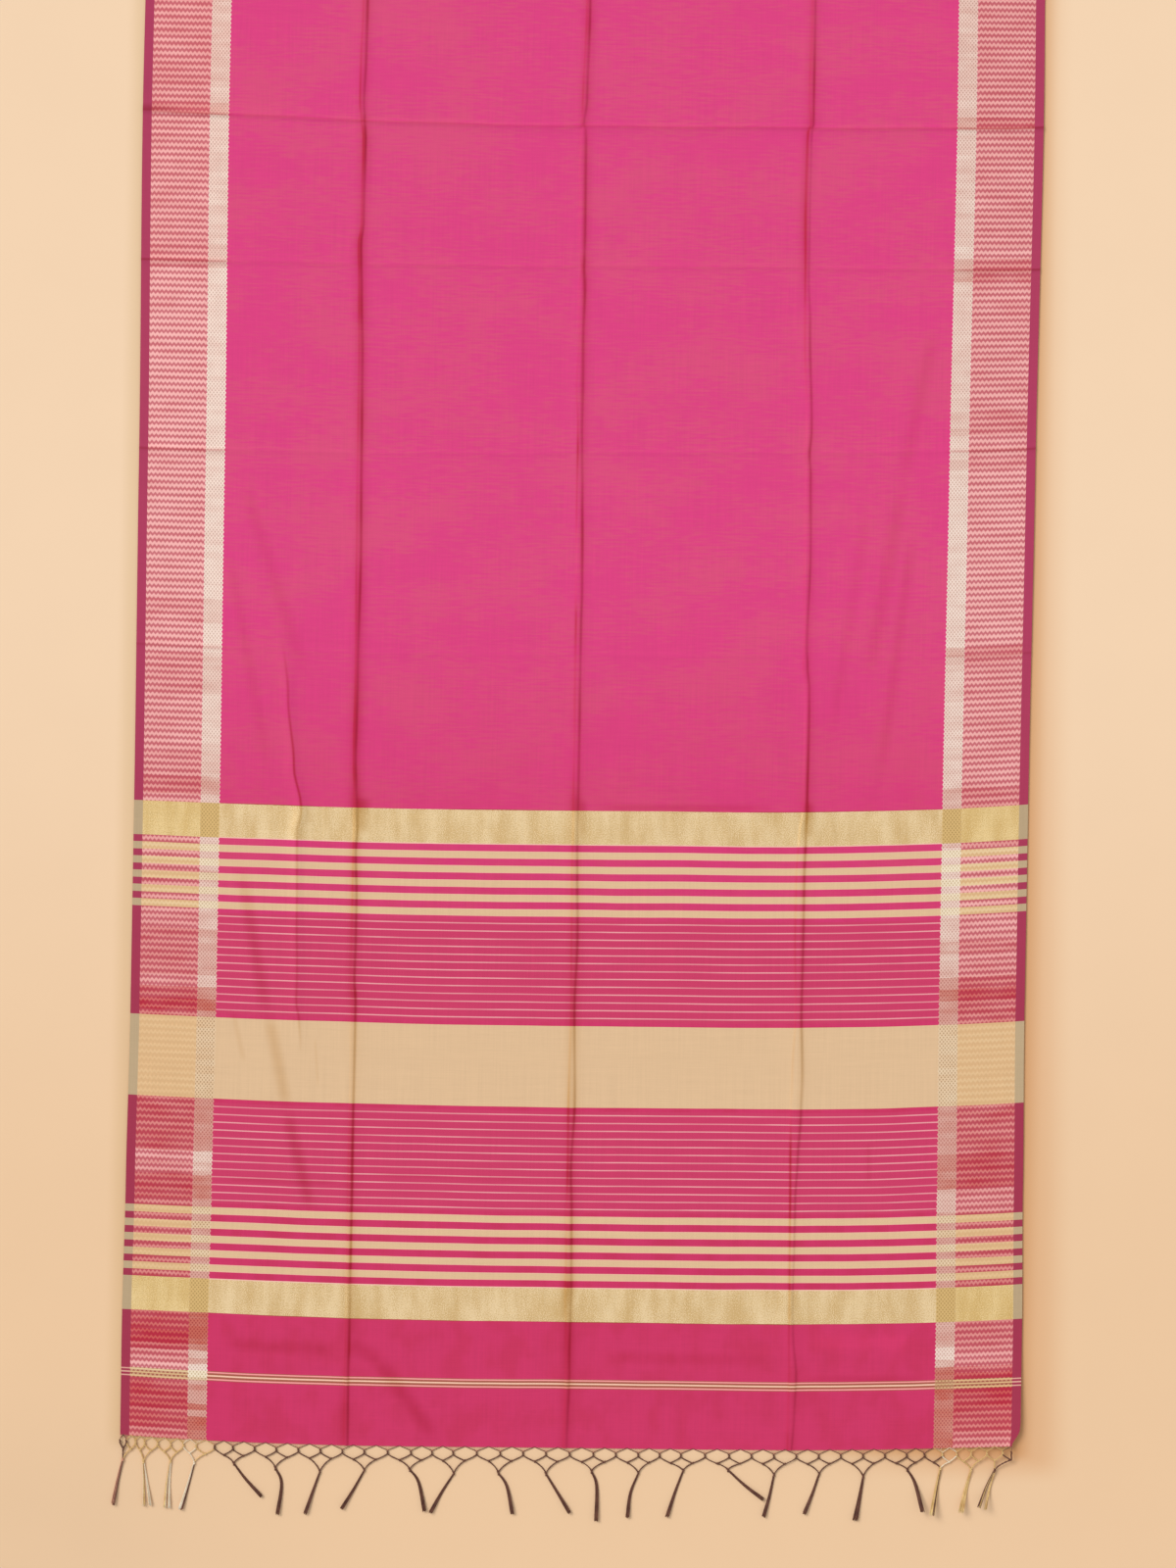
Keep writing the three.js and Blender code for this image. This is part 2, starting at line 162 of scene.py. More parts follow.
RIGHT_FOLD = (
    (0, 281, 1.6, 0.5, 0.2),
    (40, 282, 2.8, 0.3, 0.25),
    (95, 283, 3.4, 0.35, 0.3),
    (150, 280, 1.4, 0.45, 0.1),
    (178, 279.5, 1.0, 1.1, 0.1),
    (206, 279.5, 1.0, 1.0, 0.2),
    (270, 280, 1.8, 0.9, 0.2),
    (320, 280, 2.0, 1.1, 0.3),
    (375, 281, 3.6, 1.15, 0.4),
    (430, 282.5, 5.3, 0.15, 0.45),
    (480, 284, 5.3, 0.4, 0.65),
    (566, 284.5, 2.5, 0.25, 0.6),
    (650, 283.5, 4.0, 0.5, 0.6),
    (735, 283.5, 4.0, 0.4, 0.75),
    (790, 285.5, 3.3, 0.4, 1.1),
    (818, 288, 1.5, 0.15, 1.05),
    (940, 288.5, 1.4, 0.05, 0.5),
    (975, 288, 1.5, 0.1, 0.5),
    (1005, 285, 1.5, 0.3, 0.4),
    (1030, 284.5, 0.6, 0.2, 0.3),
    (1140, 285, 2.7, 0.15, 0.3),
    (1245, 284, 2.0, 0.1, 0.45),
    (1275, 282, 2.0, 0.15, 0.55),
    (1300, 284, 2.0, 0.1, 0.5),
    (1440, 279, 2.1, 0.4, 0.35),
    (1500, 277, 1.1, 0.9, 0.2),
    (1585, 276, 1.6, 1.1, 0.1),
    (1680, 276.5, 1.4, 1.1, 0.1),
    (1695, 279.5, 0.6, 0.4, 0.6),
    (1722, 278.5, 1.5, 0.3, 0.65),
    (1834, 279.5, 0.9, 0.5, 0.45),
)

# The soft painted shade that runs out to each side of the three folds, left, middle and right.
SHADE_COLUMNS = ("from_hem", "left_1", "right_1", "left_2", "right_2", "left_3", "right_3")
SHADE_ROWS = (
    (35, 0.3, 0.05, 0.3, 0.3, 0.1, 0.15),
    (120, 0.05, 0.15, 0.4, 0.5, 0.0, 0.05),
    (172, 0.15, 0.3, 0.45, 0.5, 0.0, 0.1),
    (206, 0.5, 0.7, 0.8, 0.8, 0.1, 0.2),
    (242, 0.15, 0.25, 0.3, 0.45, 0.0, 0.1),
    (364, 0.2, 0.2, 0.2, 0.35, 0.0, 0.05),
    (483, 0.05, 0.15, 0.3, 0.25, 0.0, 0.1),
    (609, 0.35, 0.25, 0.25, 0.35, 0.0, 0.15),
    (785, 0.3, 0.35, 0.2, 0.3, 0.0, 0.2),
    (822, 0.6, 0.8, 0.5, 0.6, 0.15, 0.35),
    (860, 0.3, 0.45, 0.1, 0.2, 0.0, 0.25),
    (967, 0.25, 0.5, 0.05, 0.15, 0.0, 0.25),
    (1219, 0.1, 0.25, 0.0, 0.2, 0.0, 0.2),
    (1395, 0.3, 0.4, 0.0, 0.4, 0.0, 0.05),
    (1590, 0.3, 0.3, 0.0, 0.35, 0.45, 0.05),
    (1760, 0.1, 0.25, 0.2, 0.3, 0.2, 0.2),
)
SHADE_REACH = 8.5 * MM
SHADE_DEPTH = 1.3
SHADE_TURN = 6 * MM  # it goes from the left side's depth to the right side's over this width
FOLD_HEIGHT = 1.3 * MM
FOLD_FLANK = 2.4 * MM  # how far a flank runs out
FOLD_SKIRT_HEIGHT = 0.8 * MM
FOLD_SKIRT_REACH = 13 * MM
FOLD_ZONE = 40 * MM  # a fold ends altogether this far from its middle
FLANK_TONE_OUT = 1.0 * MM  # a flank's painted shade is deepest this far outside the flat top
LEFT_TONE_REACH = 1.6 * MM
RIGHT_TONE_REACH = 2.0 * MM
FOLD_EVEN = 0.8  # along a fold, its height goes up and down about this share of the full one,
FOLD_UNEVEN = 0.35  # by this much,
UNEVEN_PER_METRE = 14  # this often,
UNEVEN_TONE = 1.2  # and its painted shade with it, up to a limit
UNEVEN_TONE_TOP = 1.15
DEEPEST_PAINTED_SHADE = 1.3
PRESSED_FROM = 1860 * MM  # the ridges are pressed flat from here to where the folded rest starts
PRESSED_TO = 1890 * MM

# A soft pleat beside the left fold, in millimetres: where it lies, and how deep its painted shade is.
PLEAT_COLUMNS = ("from_hem", "across", "tone", "height")
PLEAT_ROWS = (
    (500, -356.0, 0.0, 0.0),
    (520, -356.5, 0.3, 0.6),
    (542, -358.7, 0.5, 1.0),
    (567, -362.8, 0.55, 1.4),
    (600, -362.5, 0.45, 1.6),
    (680, -364.0, 0.5, 2.0),
    (781, -365.4, 0.6, 2.2),
    (793, -365.0, 0.65, 2.4),
    (806, -360.2, 0.8, 2.6),
    (818, -361.0, 1.0, 2.6),
    (869, -371.0, 0.95, 2.4),
    (960, -380.0, 0.6, 1.8),
    (1040, -388.0, 0.0, 0.0),
)
PLEAT_REACH = 8.4 * MM
PLEAT_TONE_OUT = 0.8 * MM  # its painted shade lies this far right of its middle
PLEAT_TONE_REACH = 1.6 * MM

# Fainter folds that run across the whole cloth: how far from the hem at the left edge, the middle and
# the right edge, how high, and how deep their painted shade is in the plain cloth and in the borders.
CROSS_COLUMNS = ("at_left", "at_middle", "at_right", "height", "plain_painted_shade", "border_painted_shade")
CROSS_ROWS = (
    (1017, 1016, 1015, 0.3, 0.0, 0.35),
    (1267, 1273, 1278, 0.5, 0.0, 0.6),
    (1508, 1510, 1509, 0.7, 0.06, 0.75),
    (1699, 1688, 1692, 1.3, 0.28, 0.8),
)
CROSS_REACH = 3.5 * MM
CROSS_TONE_REACH = 1.5 * MM
CROSS_WAVES = ((0.9, 9, 0), (0.5, 31, 1))  # how each wanders: millimetres, turn for each metre, start
BORDER_TONE_FROM = 112 * MM  # the borders' depth of painted shade sets in this far from the edge,
BORDER_TONE_BLEND = 8 * MM  # over this width

# Soft creases and troughs, in millimetres: where each starts and ends, how far it fades out to its
# sides, how deep its painted shade is (below zero, painted light), and how high the cloth swells beside
# it.
CREASE_COLUMNS = ("from_hem", "across", "to_hem", "to_across", "reach", "tone", "swell")
CREASE_ROWS = (
    (745, -438, 540, -398, 14, 0.34, 1.0),
    (552, -398, 425, -370, 13, 0.46, 1.3),
    (430, -372, 295, -336, 14, 0.42, 1.1),
    (550, -443, 485, -427, 6, 0.22, 0.5),
    (522, -337, 458, -332, 3, 0.2, 0.3),
    (1440, 443, 1230, 404, 15, 0.14, 0.8),
    (1250, 407, 980, 366, 15, 0.16, 0.8),
    (1184, 421, 850, 383, 12, 0.16, 0.6),
    (1217, 363, 899, 318, 12, 0.1, 0.5),
    (1235, -443, 975, -354, 15, 0.13, 0.8),
    (1150, -460, 855, -402, 12, 0.11, 0.6),
    (130, -284, 108, -244, 17, 0.34, 0.6),
    (116, -252, 6, -168, 17, 0.42, 0.9),
    (124, -450, 121, -296, 14, 0.3, 0.6),
    (117, 25, 116, 262, 13, 0.22, 0.6),
    (92, 292, 90, 456, 9, 0.22, 0.4),
    (140, 292, 138, 452, 26, -0.3, 0.0),
    (335, -453, 336, -300, 6, 0.2, 0.5),
    (348, -286, 345, -40, 5, 0.14, 0.4),
    (396, 376, 340, 377, 6, 0.16, 0.3),
    (834, -279, 784, -279, 14, 0.5, 0.0),
    (834, 3, 784, 2, 9, 0.3, 0.0),
    (834, 294, 784, 293, 11, 0.4, 0.0),
    (820, -351, 796, -349, 9, 0.35, 0.0),
    (823, 14, 824, 255, 8, 0.3, 0.0),
)

# Cloth at rest never lies quite flat: how high it stands on average, and its slow swells as height,
# how many there are in a metre across and along, and a third number that tells them apart.
LOOSE_HEIGHT = 0.55 * MM
LOOSE_SWELLS = (
    (0.45 * MM, 7, 2.2, 0.3),
    (0.35 * MM, 3, 5.0, 4.1),
)


def table(columns, rows):
    return [dict(zip(columns, row)) for row in rows]


def eased(share):
    share = min(max(share, 0.0), 1.0)
    return share * share * (3 - 2 * share)


def along(rows, column, from_hem):
    """The value of a table's column at a distance from the hem, eased from row to row."""
    place = from_hem / MM
    if place <= rows[0]["from_hem"]:
        return rows[0][column]
    for before, after in zip(rows, rows[1:]):
        if place < after["from_hem"]:
            share = (place - before["from_hem"]) / (after["from_hem"] - before["from_hem"])
            return before[column] + (after[column] - before[column]) * eased(share)
    return rows[-1][column]


LIE = table(LIE_COLUMNS, LIE_ROWS)
FOLDS = [table(FOLD_COLUMNS, rows) for rows in (LEFT_FOLD, MIDDLE_FOLD, RIGHT_FOLD)]
PLEAT = table(PLEAT_COLUMNS, PLEAT_ROWS)
CROSSINGS = table(CROSS_COLUMNS, CROSS_ROWS)
CREASES = table(CREASE_COLUMNS, CREASE_ROWS)
SHADES = table(SHADE_COLUMNS, SHADE_ROWS)


def bell(distance, reach):
    return math.exp(-((distance / reach) ** 2))


def fold_height(offset, top):
    """A pressed fold in section: a narrow flat top, steep flanks and soft skirts."""
    flank = 1 - eased((abs(offset) - top) / FOLD_FLANK)
    return FOLD_HEIGHT * flank + FOLD_SKIRT_HEIGHT * bell(offset, FOLD_SKIRT_REACH)


def painted_fold_shade(offset, row, shade_left, shade_right):
    """How deep the painted shade is beside the middle of a fold."""
    out = row["top"] * MM + FLANK_TONE_OUT
    flanks = row["left_painted_shade"] * bell(offset + out, LEFT_TONE_REACH)
    flanks += row["right_painted_shade"] * bell(offset - out, RIGHT_TONE_REACH)
    to_right = eased(offset / SHADE_TURN + 0.5)
    depth = shade_left + (shade_right - shade_left) * to_right
    shade = SHADE_DEPTH * depth * bell(offset, SHADE_REACH)
    return flanks + shade - flanks * shade


def cross_place(crossing, across):
    share = across / CLOTH_WIDTH + 0.5
    wander = sum(size * math.sin(across * turn + start) for size, turn, start in CROSS_WAVES)
    place = crossing["at_left"] * (1 - share) * (1 - 2 * share)
    place += crossing["at_middle"] * 4 * share * (1 - share)
    place += crossing["at_right"] * share * (2 * share - 1)
    return (place + wander) * MM


def crease_swell(crease, across, from_hem):
    """How high the cloth stands along the left side of a soft crease."""
    run_across = (crease["to_across"] - crease["across"]) * MM
    run_down = (crease["to_hem"] - crease["from_hem"]) * MM
    length = math.hypot(run_across, run_down)
    out_across = across - crease["across"] * MM
    out_down = from_hem - crease["from_hem"] * MM
    on_line = (out_across * run_across + out_down * run_down) / length
    off_line = (out_across * run_down - out_down * run_across) / length
    ends = eased(on_line / (length / 4)) * eased((length - on_line) / (length / 4))
    beside = off_line - crease["reach"] * MM
    return crease["swell"] * MM * ends * bell(beside, crease["reach"] * MM)


def lie_of(across, from_hem):
    """How high the underside stands off the floor, and how deep the painted fold shade is, at one place.
    """
    height, tone = 0.0, 0.0
    for number, fold in enumerate(FOLDS, 1):
        offset = across - along(fold, "across", from_hem) * MM
        if abs(offset) < FOLD_ZONE:
            row = {name: along(fold, name, from_hem) for name in FOLD_COLUMNS}
            shades = [along(SHADES, f"{side}_{number}", from_hem) for side in ("left", "right")]
            place = Vector((across, from_hem * UNEVEN_PER_METRE, row["across"]))
            uneven = FOLD_EVEN + FOLD_UNEVEN * noise.noise(place)
            height += fold_height(offset, row["top"] * MM) * uneven
            tone += painted_fold_shade(offset, row, *shades) * min(uneven * UNEVEN_TONE, UNEVEN_TONE_TOP)
    offset = across - along(PLEAT, "across", from_hem) * MM
    height += along(PLEAT, "height", from_hem) * MM * bell(offset, PLEAT_REACH)
    tone += along(PLEAT, "tone", from_hem) * bell(offset - PLEAT_TONE_OUT, PLEAT_TONE_REACH)
    border = eased((abs(across) - HALF_WIDTH + BORDER_TONE_FROM) / BORDER_TONE_BLEND)
    for crossing in CROSSINGS:
        offset = from_hem - cross_place(crossing, across)
        height = max(height, crossing["height"] * MM * bell(offset, CROSS_REACH))
        depth = crossing["plain_painted_shade"] * (1 - border) + crossing["border_painted_shade"] * border
        tone += depth * bell(offset, CROSS_TONE_REACH)
    for crease in CREASES:
        height += crease_swell(crease, across, from_hem)
    height += LOOSE_HEIGHT
    for size, per_across, per_along, apart in LOOSE_SWELLS:
        height += size * noise.noise(Vector((across * per_across, from_hem * per_along, apart)))
    height = max(height, 0.0)

    pressed = 1 - eased((from_hem - PRESSED_FROM) / (PRESSED_TO - PRESSED_FROM))
    rise = along(LIE, "left_rise" if across < 0 else "right_rise", from_hem) * MM
    into_edge = min(max((abs(across) - HALF_WIDTH + EDGE_REACH) / EDGE_REACH, 0.0), 1.0)
    height = height * pressed + rise * into_edge**2
    landing = min(max(1 + from_hem / FRINGE_FALL, 0.0), 1.0)
    return height * landing, min(tone * pressed, DEEPEST_PAINTED_SHADE)


SIDE_SAG_PEAK = 27 / 4  # brings share² (1 - share) to 1 at its highest


def in_plan(across, from_hem):
    """Where a place of the cloth lies on the floor."""
    curl = eased((across - HALF_WIDTH) / CURL_REACH + 1) * eased(1 - from_hem / CURL_TO)
    across -= CURL_INWARD * curl**CURL_SHARPNESS
    share = across / HALF_WIDTH
    x = across + share * along(LIE, "spread", from_hem) * MM
    sag = along(LIE, "sag", from_hem) * (1 - share**2) - along(LIE, "climb", from_hem) * share
    side_sag = along(LIE, "left_sag" if share < 0 else "right_sag", from_hem)
    sag += side_sag * SIDE_SAG_PEAK * share**2 * (1 - abs(share))
    return MIDDLE_X + x, HEM_Y + from_hem - sag * MM


FOLD_STOPS = (0, 1.2, 2.4, 3.6, 4.8, 6.2, 8, 10.5, 14, 19, 26)  # columns to each side of a fold
PLEAT_STOPS = (0, 1.1, 2.2, 3.6, 5.5, 8.5, 13)
EDGE_STRIP = 1.5
PLAIN_COLUMNS = (14, 2, 19, 20, 22)  # in each plain stretch, from the left edge to the right
ROW_PITCH = 10
HEM_ROWS = [0, 1.2, 2.8, 5, 7.5, 12.5, 16]
CROSS_STOPS = (0, 1.2, 2.4, 3.6, 4.8, 6.2, 8.2)
ROWS_APART = 4  # a plain row this close to one of a cross fold's is left out
STACK_ROW_PITCH = 40


def mirrored(stops):
    return sorted({-stop for stop in stops} | set(stops))


def filled(start, end, count):
    """Places evenly between two others, without either."""
    return [start + (end - start) * (i + 1) / (count + 1) for i in range(count)]


def columns_at(from_hem):
    """Where the mesh has its points across, in millimetres: close together at each fold."""
    half = HALF_WIDTH / MM
    groups = [[-half, -half + EDGE_STRIP]]
    groups.append([along(PLEAT, "across", from_hem) + stop for stop in mirrored(PLEAT_STOPS)])
    for fold in FOLDS:
        groups.append([along(fold, "across", from_hem) + stop for stop in mirrored(FOLD_STOPS)])
    groups.append([half - EDGE_STRIP, half])
    places = list(groups[0])
    for count, before, after in zip(PLAIN_COLUMNS, groups, groups[1:]):
        places += filled(before[-1], after[0], count) + after
    return places


def rows_of_cloth():
    plain = [ROW_PITCH * i for i in range(1, int(LAID_LENGTH / MM / ROW_PITCH))]
    crossing = [c["at_middle"] / 2 + (c["at_left"] + c["at_right"]) / 4 + s
                for c in CROSSINGS for s in mirrored(CROSS_STOPS)]
    clear = [row for row in plain if all(abs(row - other) > ROWS_APART for other in crossing)]
    under = LAID_LENGTH / MM
    steps = math.ceil(FOLD_DEPTH / MM / STACK_ROW_PITCH)
    stacked = [under + FOLD_DEPTH / MM * i / steps for i in range(steps + 1)]
    return sorted(HEM_ROWS + clear + crossing + stacked)


def add_object(name, data):
    made = bpy.data.objects.new(name, data)
    bpy.context.scene.collection.objects.link(made)
    return made


def add_sheet(name, rows, tones=None):
    """One sheet from rows of (point, (across, from hem)), with its weave map in metres of cloth."""
    columns = len(rows[0])
    points = [point for row in rows for point, _ in row]
    weave = [place for row in rows for _, place in row]
    faces = []
    for r in range(len(rows) - 1):
        for c in range(columns - 1):
            start = r * columns + c
            faces.append((start, start + 1, start + columns + 1, start + columns))
    mesh = bpy.data.meshes.new(name)
    mesh.from_pydata(points, [], faces)
    layer = mesh.uv_layers.new(name="weave")
    layer.data.foreach_set("uv", [value for face in faces for i in face for value in weave[i]])
    if tones:
        attribute = mesh.attributes.new("painted_fold_shade", "FLOAT", "POINT")
        attribute.data.foreach_set("value", tones)
    return add_object(name, mesh)


def apply_thickness(sheet, thickness, side):
    bpy.ops.object.select_all(action="DESELECT")
    sheet.select_set(True)
    bpy.context.view_layer.objects.active = sheet
    shell = sheet.modifiers.new("thickness", "SOLIDIFY")
    shell.thickness = thickness
    shell.offset = side
    bpy.ops.object.modifier_apply(modifier=shell.name)
    bpy.ops.object.shade_smooth_by_angle(angle=math.radians(60))


cloth_rows = []
cloth_painted_shades = []
for from_hem_mm in rows_of_cloth():
    from_hem = from_hem_mm * MM
    row = []
    for across_mm in columns_at(from_hem):
        across = across_mm * MM
        height, tone = lie_of(across, from_hem)
        x, y = in_plan(across, from_hem)
        row.append(((x, y, CLEARANCE + height), (across, from_hem)))
        cloth_painted_shades.append(tone)
    cloth_rows.append(row)
laid_cloth = add_sheet("laid_cloth", cloth_rows, cloth_painted_shades)
apply_thickness(laid_cloth, CLOTH_THICKNESS, 1)


# ---- The weave ----
# The cloth's one material. Pink weft over a darker warp, beige and gold weft in the pallu's bands, and
# in each border a plum selvedge, a band of zigzag rows and a narrow band of silver bird's-eye.

def colour(red, green, blue):
    """A colour as seen on a screen, 0 to 255, as Blender's linear colour."""
    def linear(channel):
        share = channel / 255
        return share / 12.92 if share <= 0.04045 else ((share + 0.055) / 1.055) ** 2.4
    return (linear(red), linear(green), linear(blue), 1.0)


PINK_MAGENTA = colour(221, 62, 128)
PINK_SALMON = colour(219, 76, 122)
PALLU_PINK = colour(205, 52, 100)
PALLU_CRIMSON = colour(199, 49, 91)
BEIGE = colour(223, 187, 147)
BEIGE_EDGE = colour(243, 176, 165)
THIN_LINE = colour(236, 160, 164)
BETWEEN_LINES = colour(204, 59, 101)
TRIPLE_CREAM = colour(248, 200, 174)
TRIPLE_PINK = colour(248, 160, 158)
TRIPLE_BROWN = colour(168, 92, 74)
GOLD = colour(240, 212, 166)
GOLD_SHADE = colour(211, 175, 118)
GOLD_BROWN_EDGE = colour(160, 76, 54)
GOLD_PALE_EDGE = colour(250, 200, 182)
PLUM = colour(175, 58, 93)
PLUM_HEM = colour(162, 51, 77)
PLUM_OVER_BEIGE = colour(190, 165, 130)
ZIGZAG_OVER_GOLD = colour(238, 208, 150)
ZIGZAG_OVER_GOLD_SHADE = colour(212, 175, 108)
SILVER_OVER_GOLD = colour(219, 183, 120)
SILVER_EYE_OVER_GOLD = colour(186, 150, 92)
FOLD_SHADE_TINT = (0.68, 0.26, 0.29, 1.0)  # what a fold's painted shade leaves of the pink
PALE_FOLD_SHADE_TINT = (0.68, 0.50, 0.22, 1.0)  # and of the beige and gold

# The borders' zari in painted shade and then painted highlight, over the pink weft and then over the pale.
ZIGZAG_GROUND = (
    colour(208, 90, 86), colour(249, 185, 180), colour(230, 186, 136), colour(238, 208, 162))
ZIGZAG_LINES = (
    colour(186, 42, 64), colour(206, 112, 120), colour(224, 182, 134), colour(224, 182, 134))
SILVER_GROUND = (
    colour(204, 106, 90), colour(248, 224, 210), colour(224, 182, 136), colour(250, 234, 206))
SILVER_EYES = (
    colour(174, 68, 62), colour(212, 178, 162), colour(176, 130, 92), colour(212, 188, 152))

# Distances in the weave are in millimetres of cloth.
PALLU_MIDDLE = 490.5  # the pallu's bands are the same on both sides of this line
WEFT_WANDER = 2.4  # how far a band's edge strays in all
WIDE_BAND = 52.25  # half of the wide beige band
LINE_PITCH = 10.06
LINE_WIDTH = 1.6
STRIPES_FROM = 192.25
STRIPE_PITCH = 18.4
STRIPE_WIDTH = 9.45
STRIPE_EDGE = 0.95  # the paler edge of a stripe
GOLD_FROM = 284.25
GOLD_TO = 328.25
BROWN_EDGE = (GOLD_TO - 0.2, GOLD_TO + 0.9)  # thin lines along the gold bands' two edges
PALE_EDGE = (GOLD_FROM - 0.4, GOLD_FROM + 1.0)
TRIPLE_FROM = 76.0
TRIPLE_TO = 88.2
TRIPLE_LOW = (76.9, 78.6)
TRIPLE_MIDDLE = (81.3, 83.2)
TRIPLE_TOP = (85.7, 87.3)
SELVEDGE = 11.5
ZIGZAG_TO = 85.2
SILVER_TO = 109.9
TOOTH_PITCH = 5.4
TOOTH_DEPTH = 3.0
ZIGZAG_PITCH = 8.35
ZIGZAG_LINE = 3.9
LINE_SOFTNESS = 0.11  # shares of the zigzag's pitch: how soft the edge of its line is,
LINE_WIDENS = 0.09  # and how much wider the line is painted where the zari's painted highlight is weak
EYE_ACROSS = 4.4
EYE_ALONG = 5.4

# Painted highlight and painted shade on the borders' stiff zari: from each distance on, how bright it
# is painted. Near the hem the zigzag zone and the silver zone differ, and each stop gives first the one
# and then the other.
LEFT_HEM_SHINE = (
    (0, 0.45, 0.1), (12, 0.2, 0.05), (29, 0.25, 0.4), (38, 0.1, 0.1), (46, 0.15, 0.45),
    (63, 0.2, 0.3), (71, 0.4, 0.5), (79, 1.0, 1.0), (96, 0.65, 0.45), (104, 0.6, 0.65),
    (113, 0.2, 0.25), (121, 0.0, 0.05), (138, 0.15, 0.0), (154, 0.25, 0.05),
)
RIGHT_HEM_SHINE = (
    (0, 0.6, 0.05), (12, 0.45, 0.1), (21, 0.25, 0.15), (46, 0.15, 0.15), (63, 0.1, 0.1),
    (71, 0.1, 0.0), (88, 0.1, 0.1), (96, 0.3, 0.15), (104, 0.7, 0.6), (113, 0.8, 0.95),
    (121, 0.65, 0.95), (129, 0.55, 0.6), (138, 0.45, 0.5),
)
HEM_SHINE_TO = 168
LEFT_SHINE = (
    (0, 0.4), (304, 0.25),
    (335, 0.6), (350, 0.8), (366, 0.3), (546, 0.1), (562, 0.3), (577, 0.7), (592, 0.5),
    (607, 0.5), (652, 0.7), (713, 0.55), (728, 0.75), (822, 0.5), (850, 0.7), (879, 0.85),
    (953, 0.75), (1008, 0.95), (1045, 0.8), (1075, 0.95), (1497, 0.7), (1528, 0.8),
    (1693, 0.5), (1709, 0.7),
)
RIGHT_SHINE = (
    (0, 0.4), (298, 0.7), (328, 0.2),
    (373, 0.4), (569, 0.15), (585, 0.35), (600, 0.65), (615, 0.75), (630, 0.55), (645, 0.8),
    (706, 0.9), (766, 0.6), (841, 0.85), (1000, 0.65), (1022, 0.95), (1249, 0.8), (1263, 0.9),
    (1294, 0.7), (1324, 0.85), (1490, 0.55), (1520, 0.95), (1535, 0.8), (1686, 0.5), (1701, 0.75),
)


class Recipe:
    """Adds shader nodes to one tree, a call for each step of a finish."""

    def __init__(self, tree):
        self.tree = tree

    def add(self, kind, **settings):
        node = self.tree.nodes.new(kind)
        for name, setting in settings.items():
            setattr(node, name, setting)
        return node

    def feed(self, socket, source):
        if isinstance(source, bpy.types.NodeSocket):
            self.tree.links.new(source, socket)
        else:
            socket.default_value = source

    def math(self, operation, *sources):
        node = self.add("ShaderNodeMath", operation=operation)
        for socket, source in zip(node.inputs, sources):
            self.feed(socket, source)
        return node.outputs[0]

    def sum(self, *weighted):
        """Adds up pairs of a source and its weight."""
        total = 0.0
        for source, weight in weighted:
            total = self.math("MULTIPLY_ADD", source, weight, total)
        return total

    def within(self, value, low, high):
        """1 where the value lies between two others, and 0 elsewhere."""
        return self.math("COMPARE", value, (low + high) / 2, (high - low) / 2)

    def either(self, first, second):
        return self.math("MAXIMUM", first, second)

    def both(self, first, second):
        return self.math("MULTIPLY", first, second)

    def fade(self, value, start, end, low=0.0, high=1.0):
        """Eases from low to high while the value goes from start to end."""
        node = self.add("ShaderNodeMapRange", interpolation_type="SMOOTHSTEP")
        for socket, source in zip(node.inputs, (value, start, end, low, high)):
            self.feed(socket, source)
        return node.outputs[0]

    def mix(self, share, first, second, blend="MIX"):
        node = self.add("ShaderNodeMix", data_type="RGBA", blend_type=blend)
        self.feed(node.inputs[0], share)
        self.feed(node.inputs[6], first)
        self.feed(node.inputs[7], second)
        return node.outputs[2]

    def scaled(self, tone, factor):
        """A colour made brighter or darker as a whole."""
        node = self.add("ShaderNodeVectorMath", operation="SCALE")
        self.feed(node.inputs[0], tone)
        self.feed(node.inputs["Scale"], factor)
        return node.outputs[0]

    def first_two(self, vector):
        """The first two numbers of a place."""
        node = self.add("ShaderNodeSeparateXYZ")
        self.feed(node.inputs[0], vector)
        return node.outputs[0], node.outputs[1]

    def noise(self, x, y, x_scale, y_scale, detail=2.0, z=0.0):
        """Soft uneven tone, with spots of about 1 / scale across and along."""
        vector = self.add("ShaderNodeCombineXYZ")
        for socket, source in zip(vector.inputs, (
                self.math("MULTIPLY", x, x_scale), self.math("MULTIPLY", y, y_scale), z)):
            self.feed(socket, source)
        node = self.add("ShaderNodeTexNoise")
        self.feed(node.inputs["Vector"], vector.outputs[0])
        node.inputs["Scale"].default_value = 1.0
        node.inputs["Detail"].default_value = detail
        return node.outputs[0]

    def steps(self, value, stops, span):
        """Holds each stop's numbers from its place on; a stop is its place and one or two numbers."""
        node = self.add("ShaderNodeValToRGB")
        ramp = node.color_ramp
        ramp.interpolation = "CONSTANT"
        while len(ramp.elements) < len(stops):
            ramp.elements.new(1.0)
        for element, stop in zip(ramp.elements, stops):
            element.position = stop[0] / span
            element.color = (stop[1], stop[-1], 0.0, 1.0)
        self.feed(node.inputs[0], self.math("DIVIDE", value, span))
        return node.outputs[0]

    def bump(self, height, strength, distance):
        node = self.add("ShaderNodeBump")
        self.feed(node.inputs["Height"], height)
        node.inputs["Strength"].default_value = strength
        node.inputs["Distance"].default_value = distance
        return node.outputs[0]

    def surface(self, finish):
        """Gives the material's surface each named part of its finish."""
        shader = self.tree.nodes["Principled BSDF"]
        for name, source in finish.items():
            self.feed(shader.inputs[name], source)


def new_material(name):
    material = bpy.data.materials.new(name)
    material.use_nodes = True
    return material, Recipe(material.node_tree)


cloth_material, weave = new_material("saree_weave")
weave_map = weave.add("ShaderNodeUVMap", uv_map="weave")
across_metres, along_metres = weave.first_two(weave_map.outputs[0])
across = weave.math("DIVIDE", across_metres, MM)
from_hem = weave.math("DIVIDE", along_metres, MM)
edge = weave.math("SUBTRACT", HALF_WIDTH / MM, weave.math("ABSOLUTE", across))

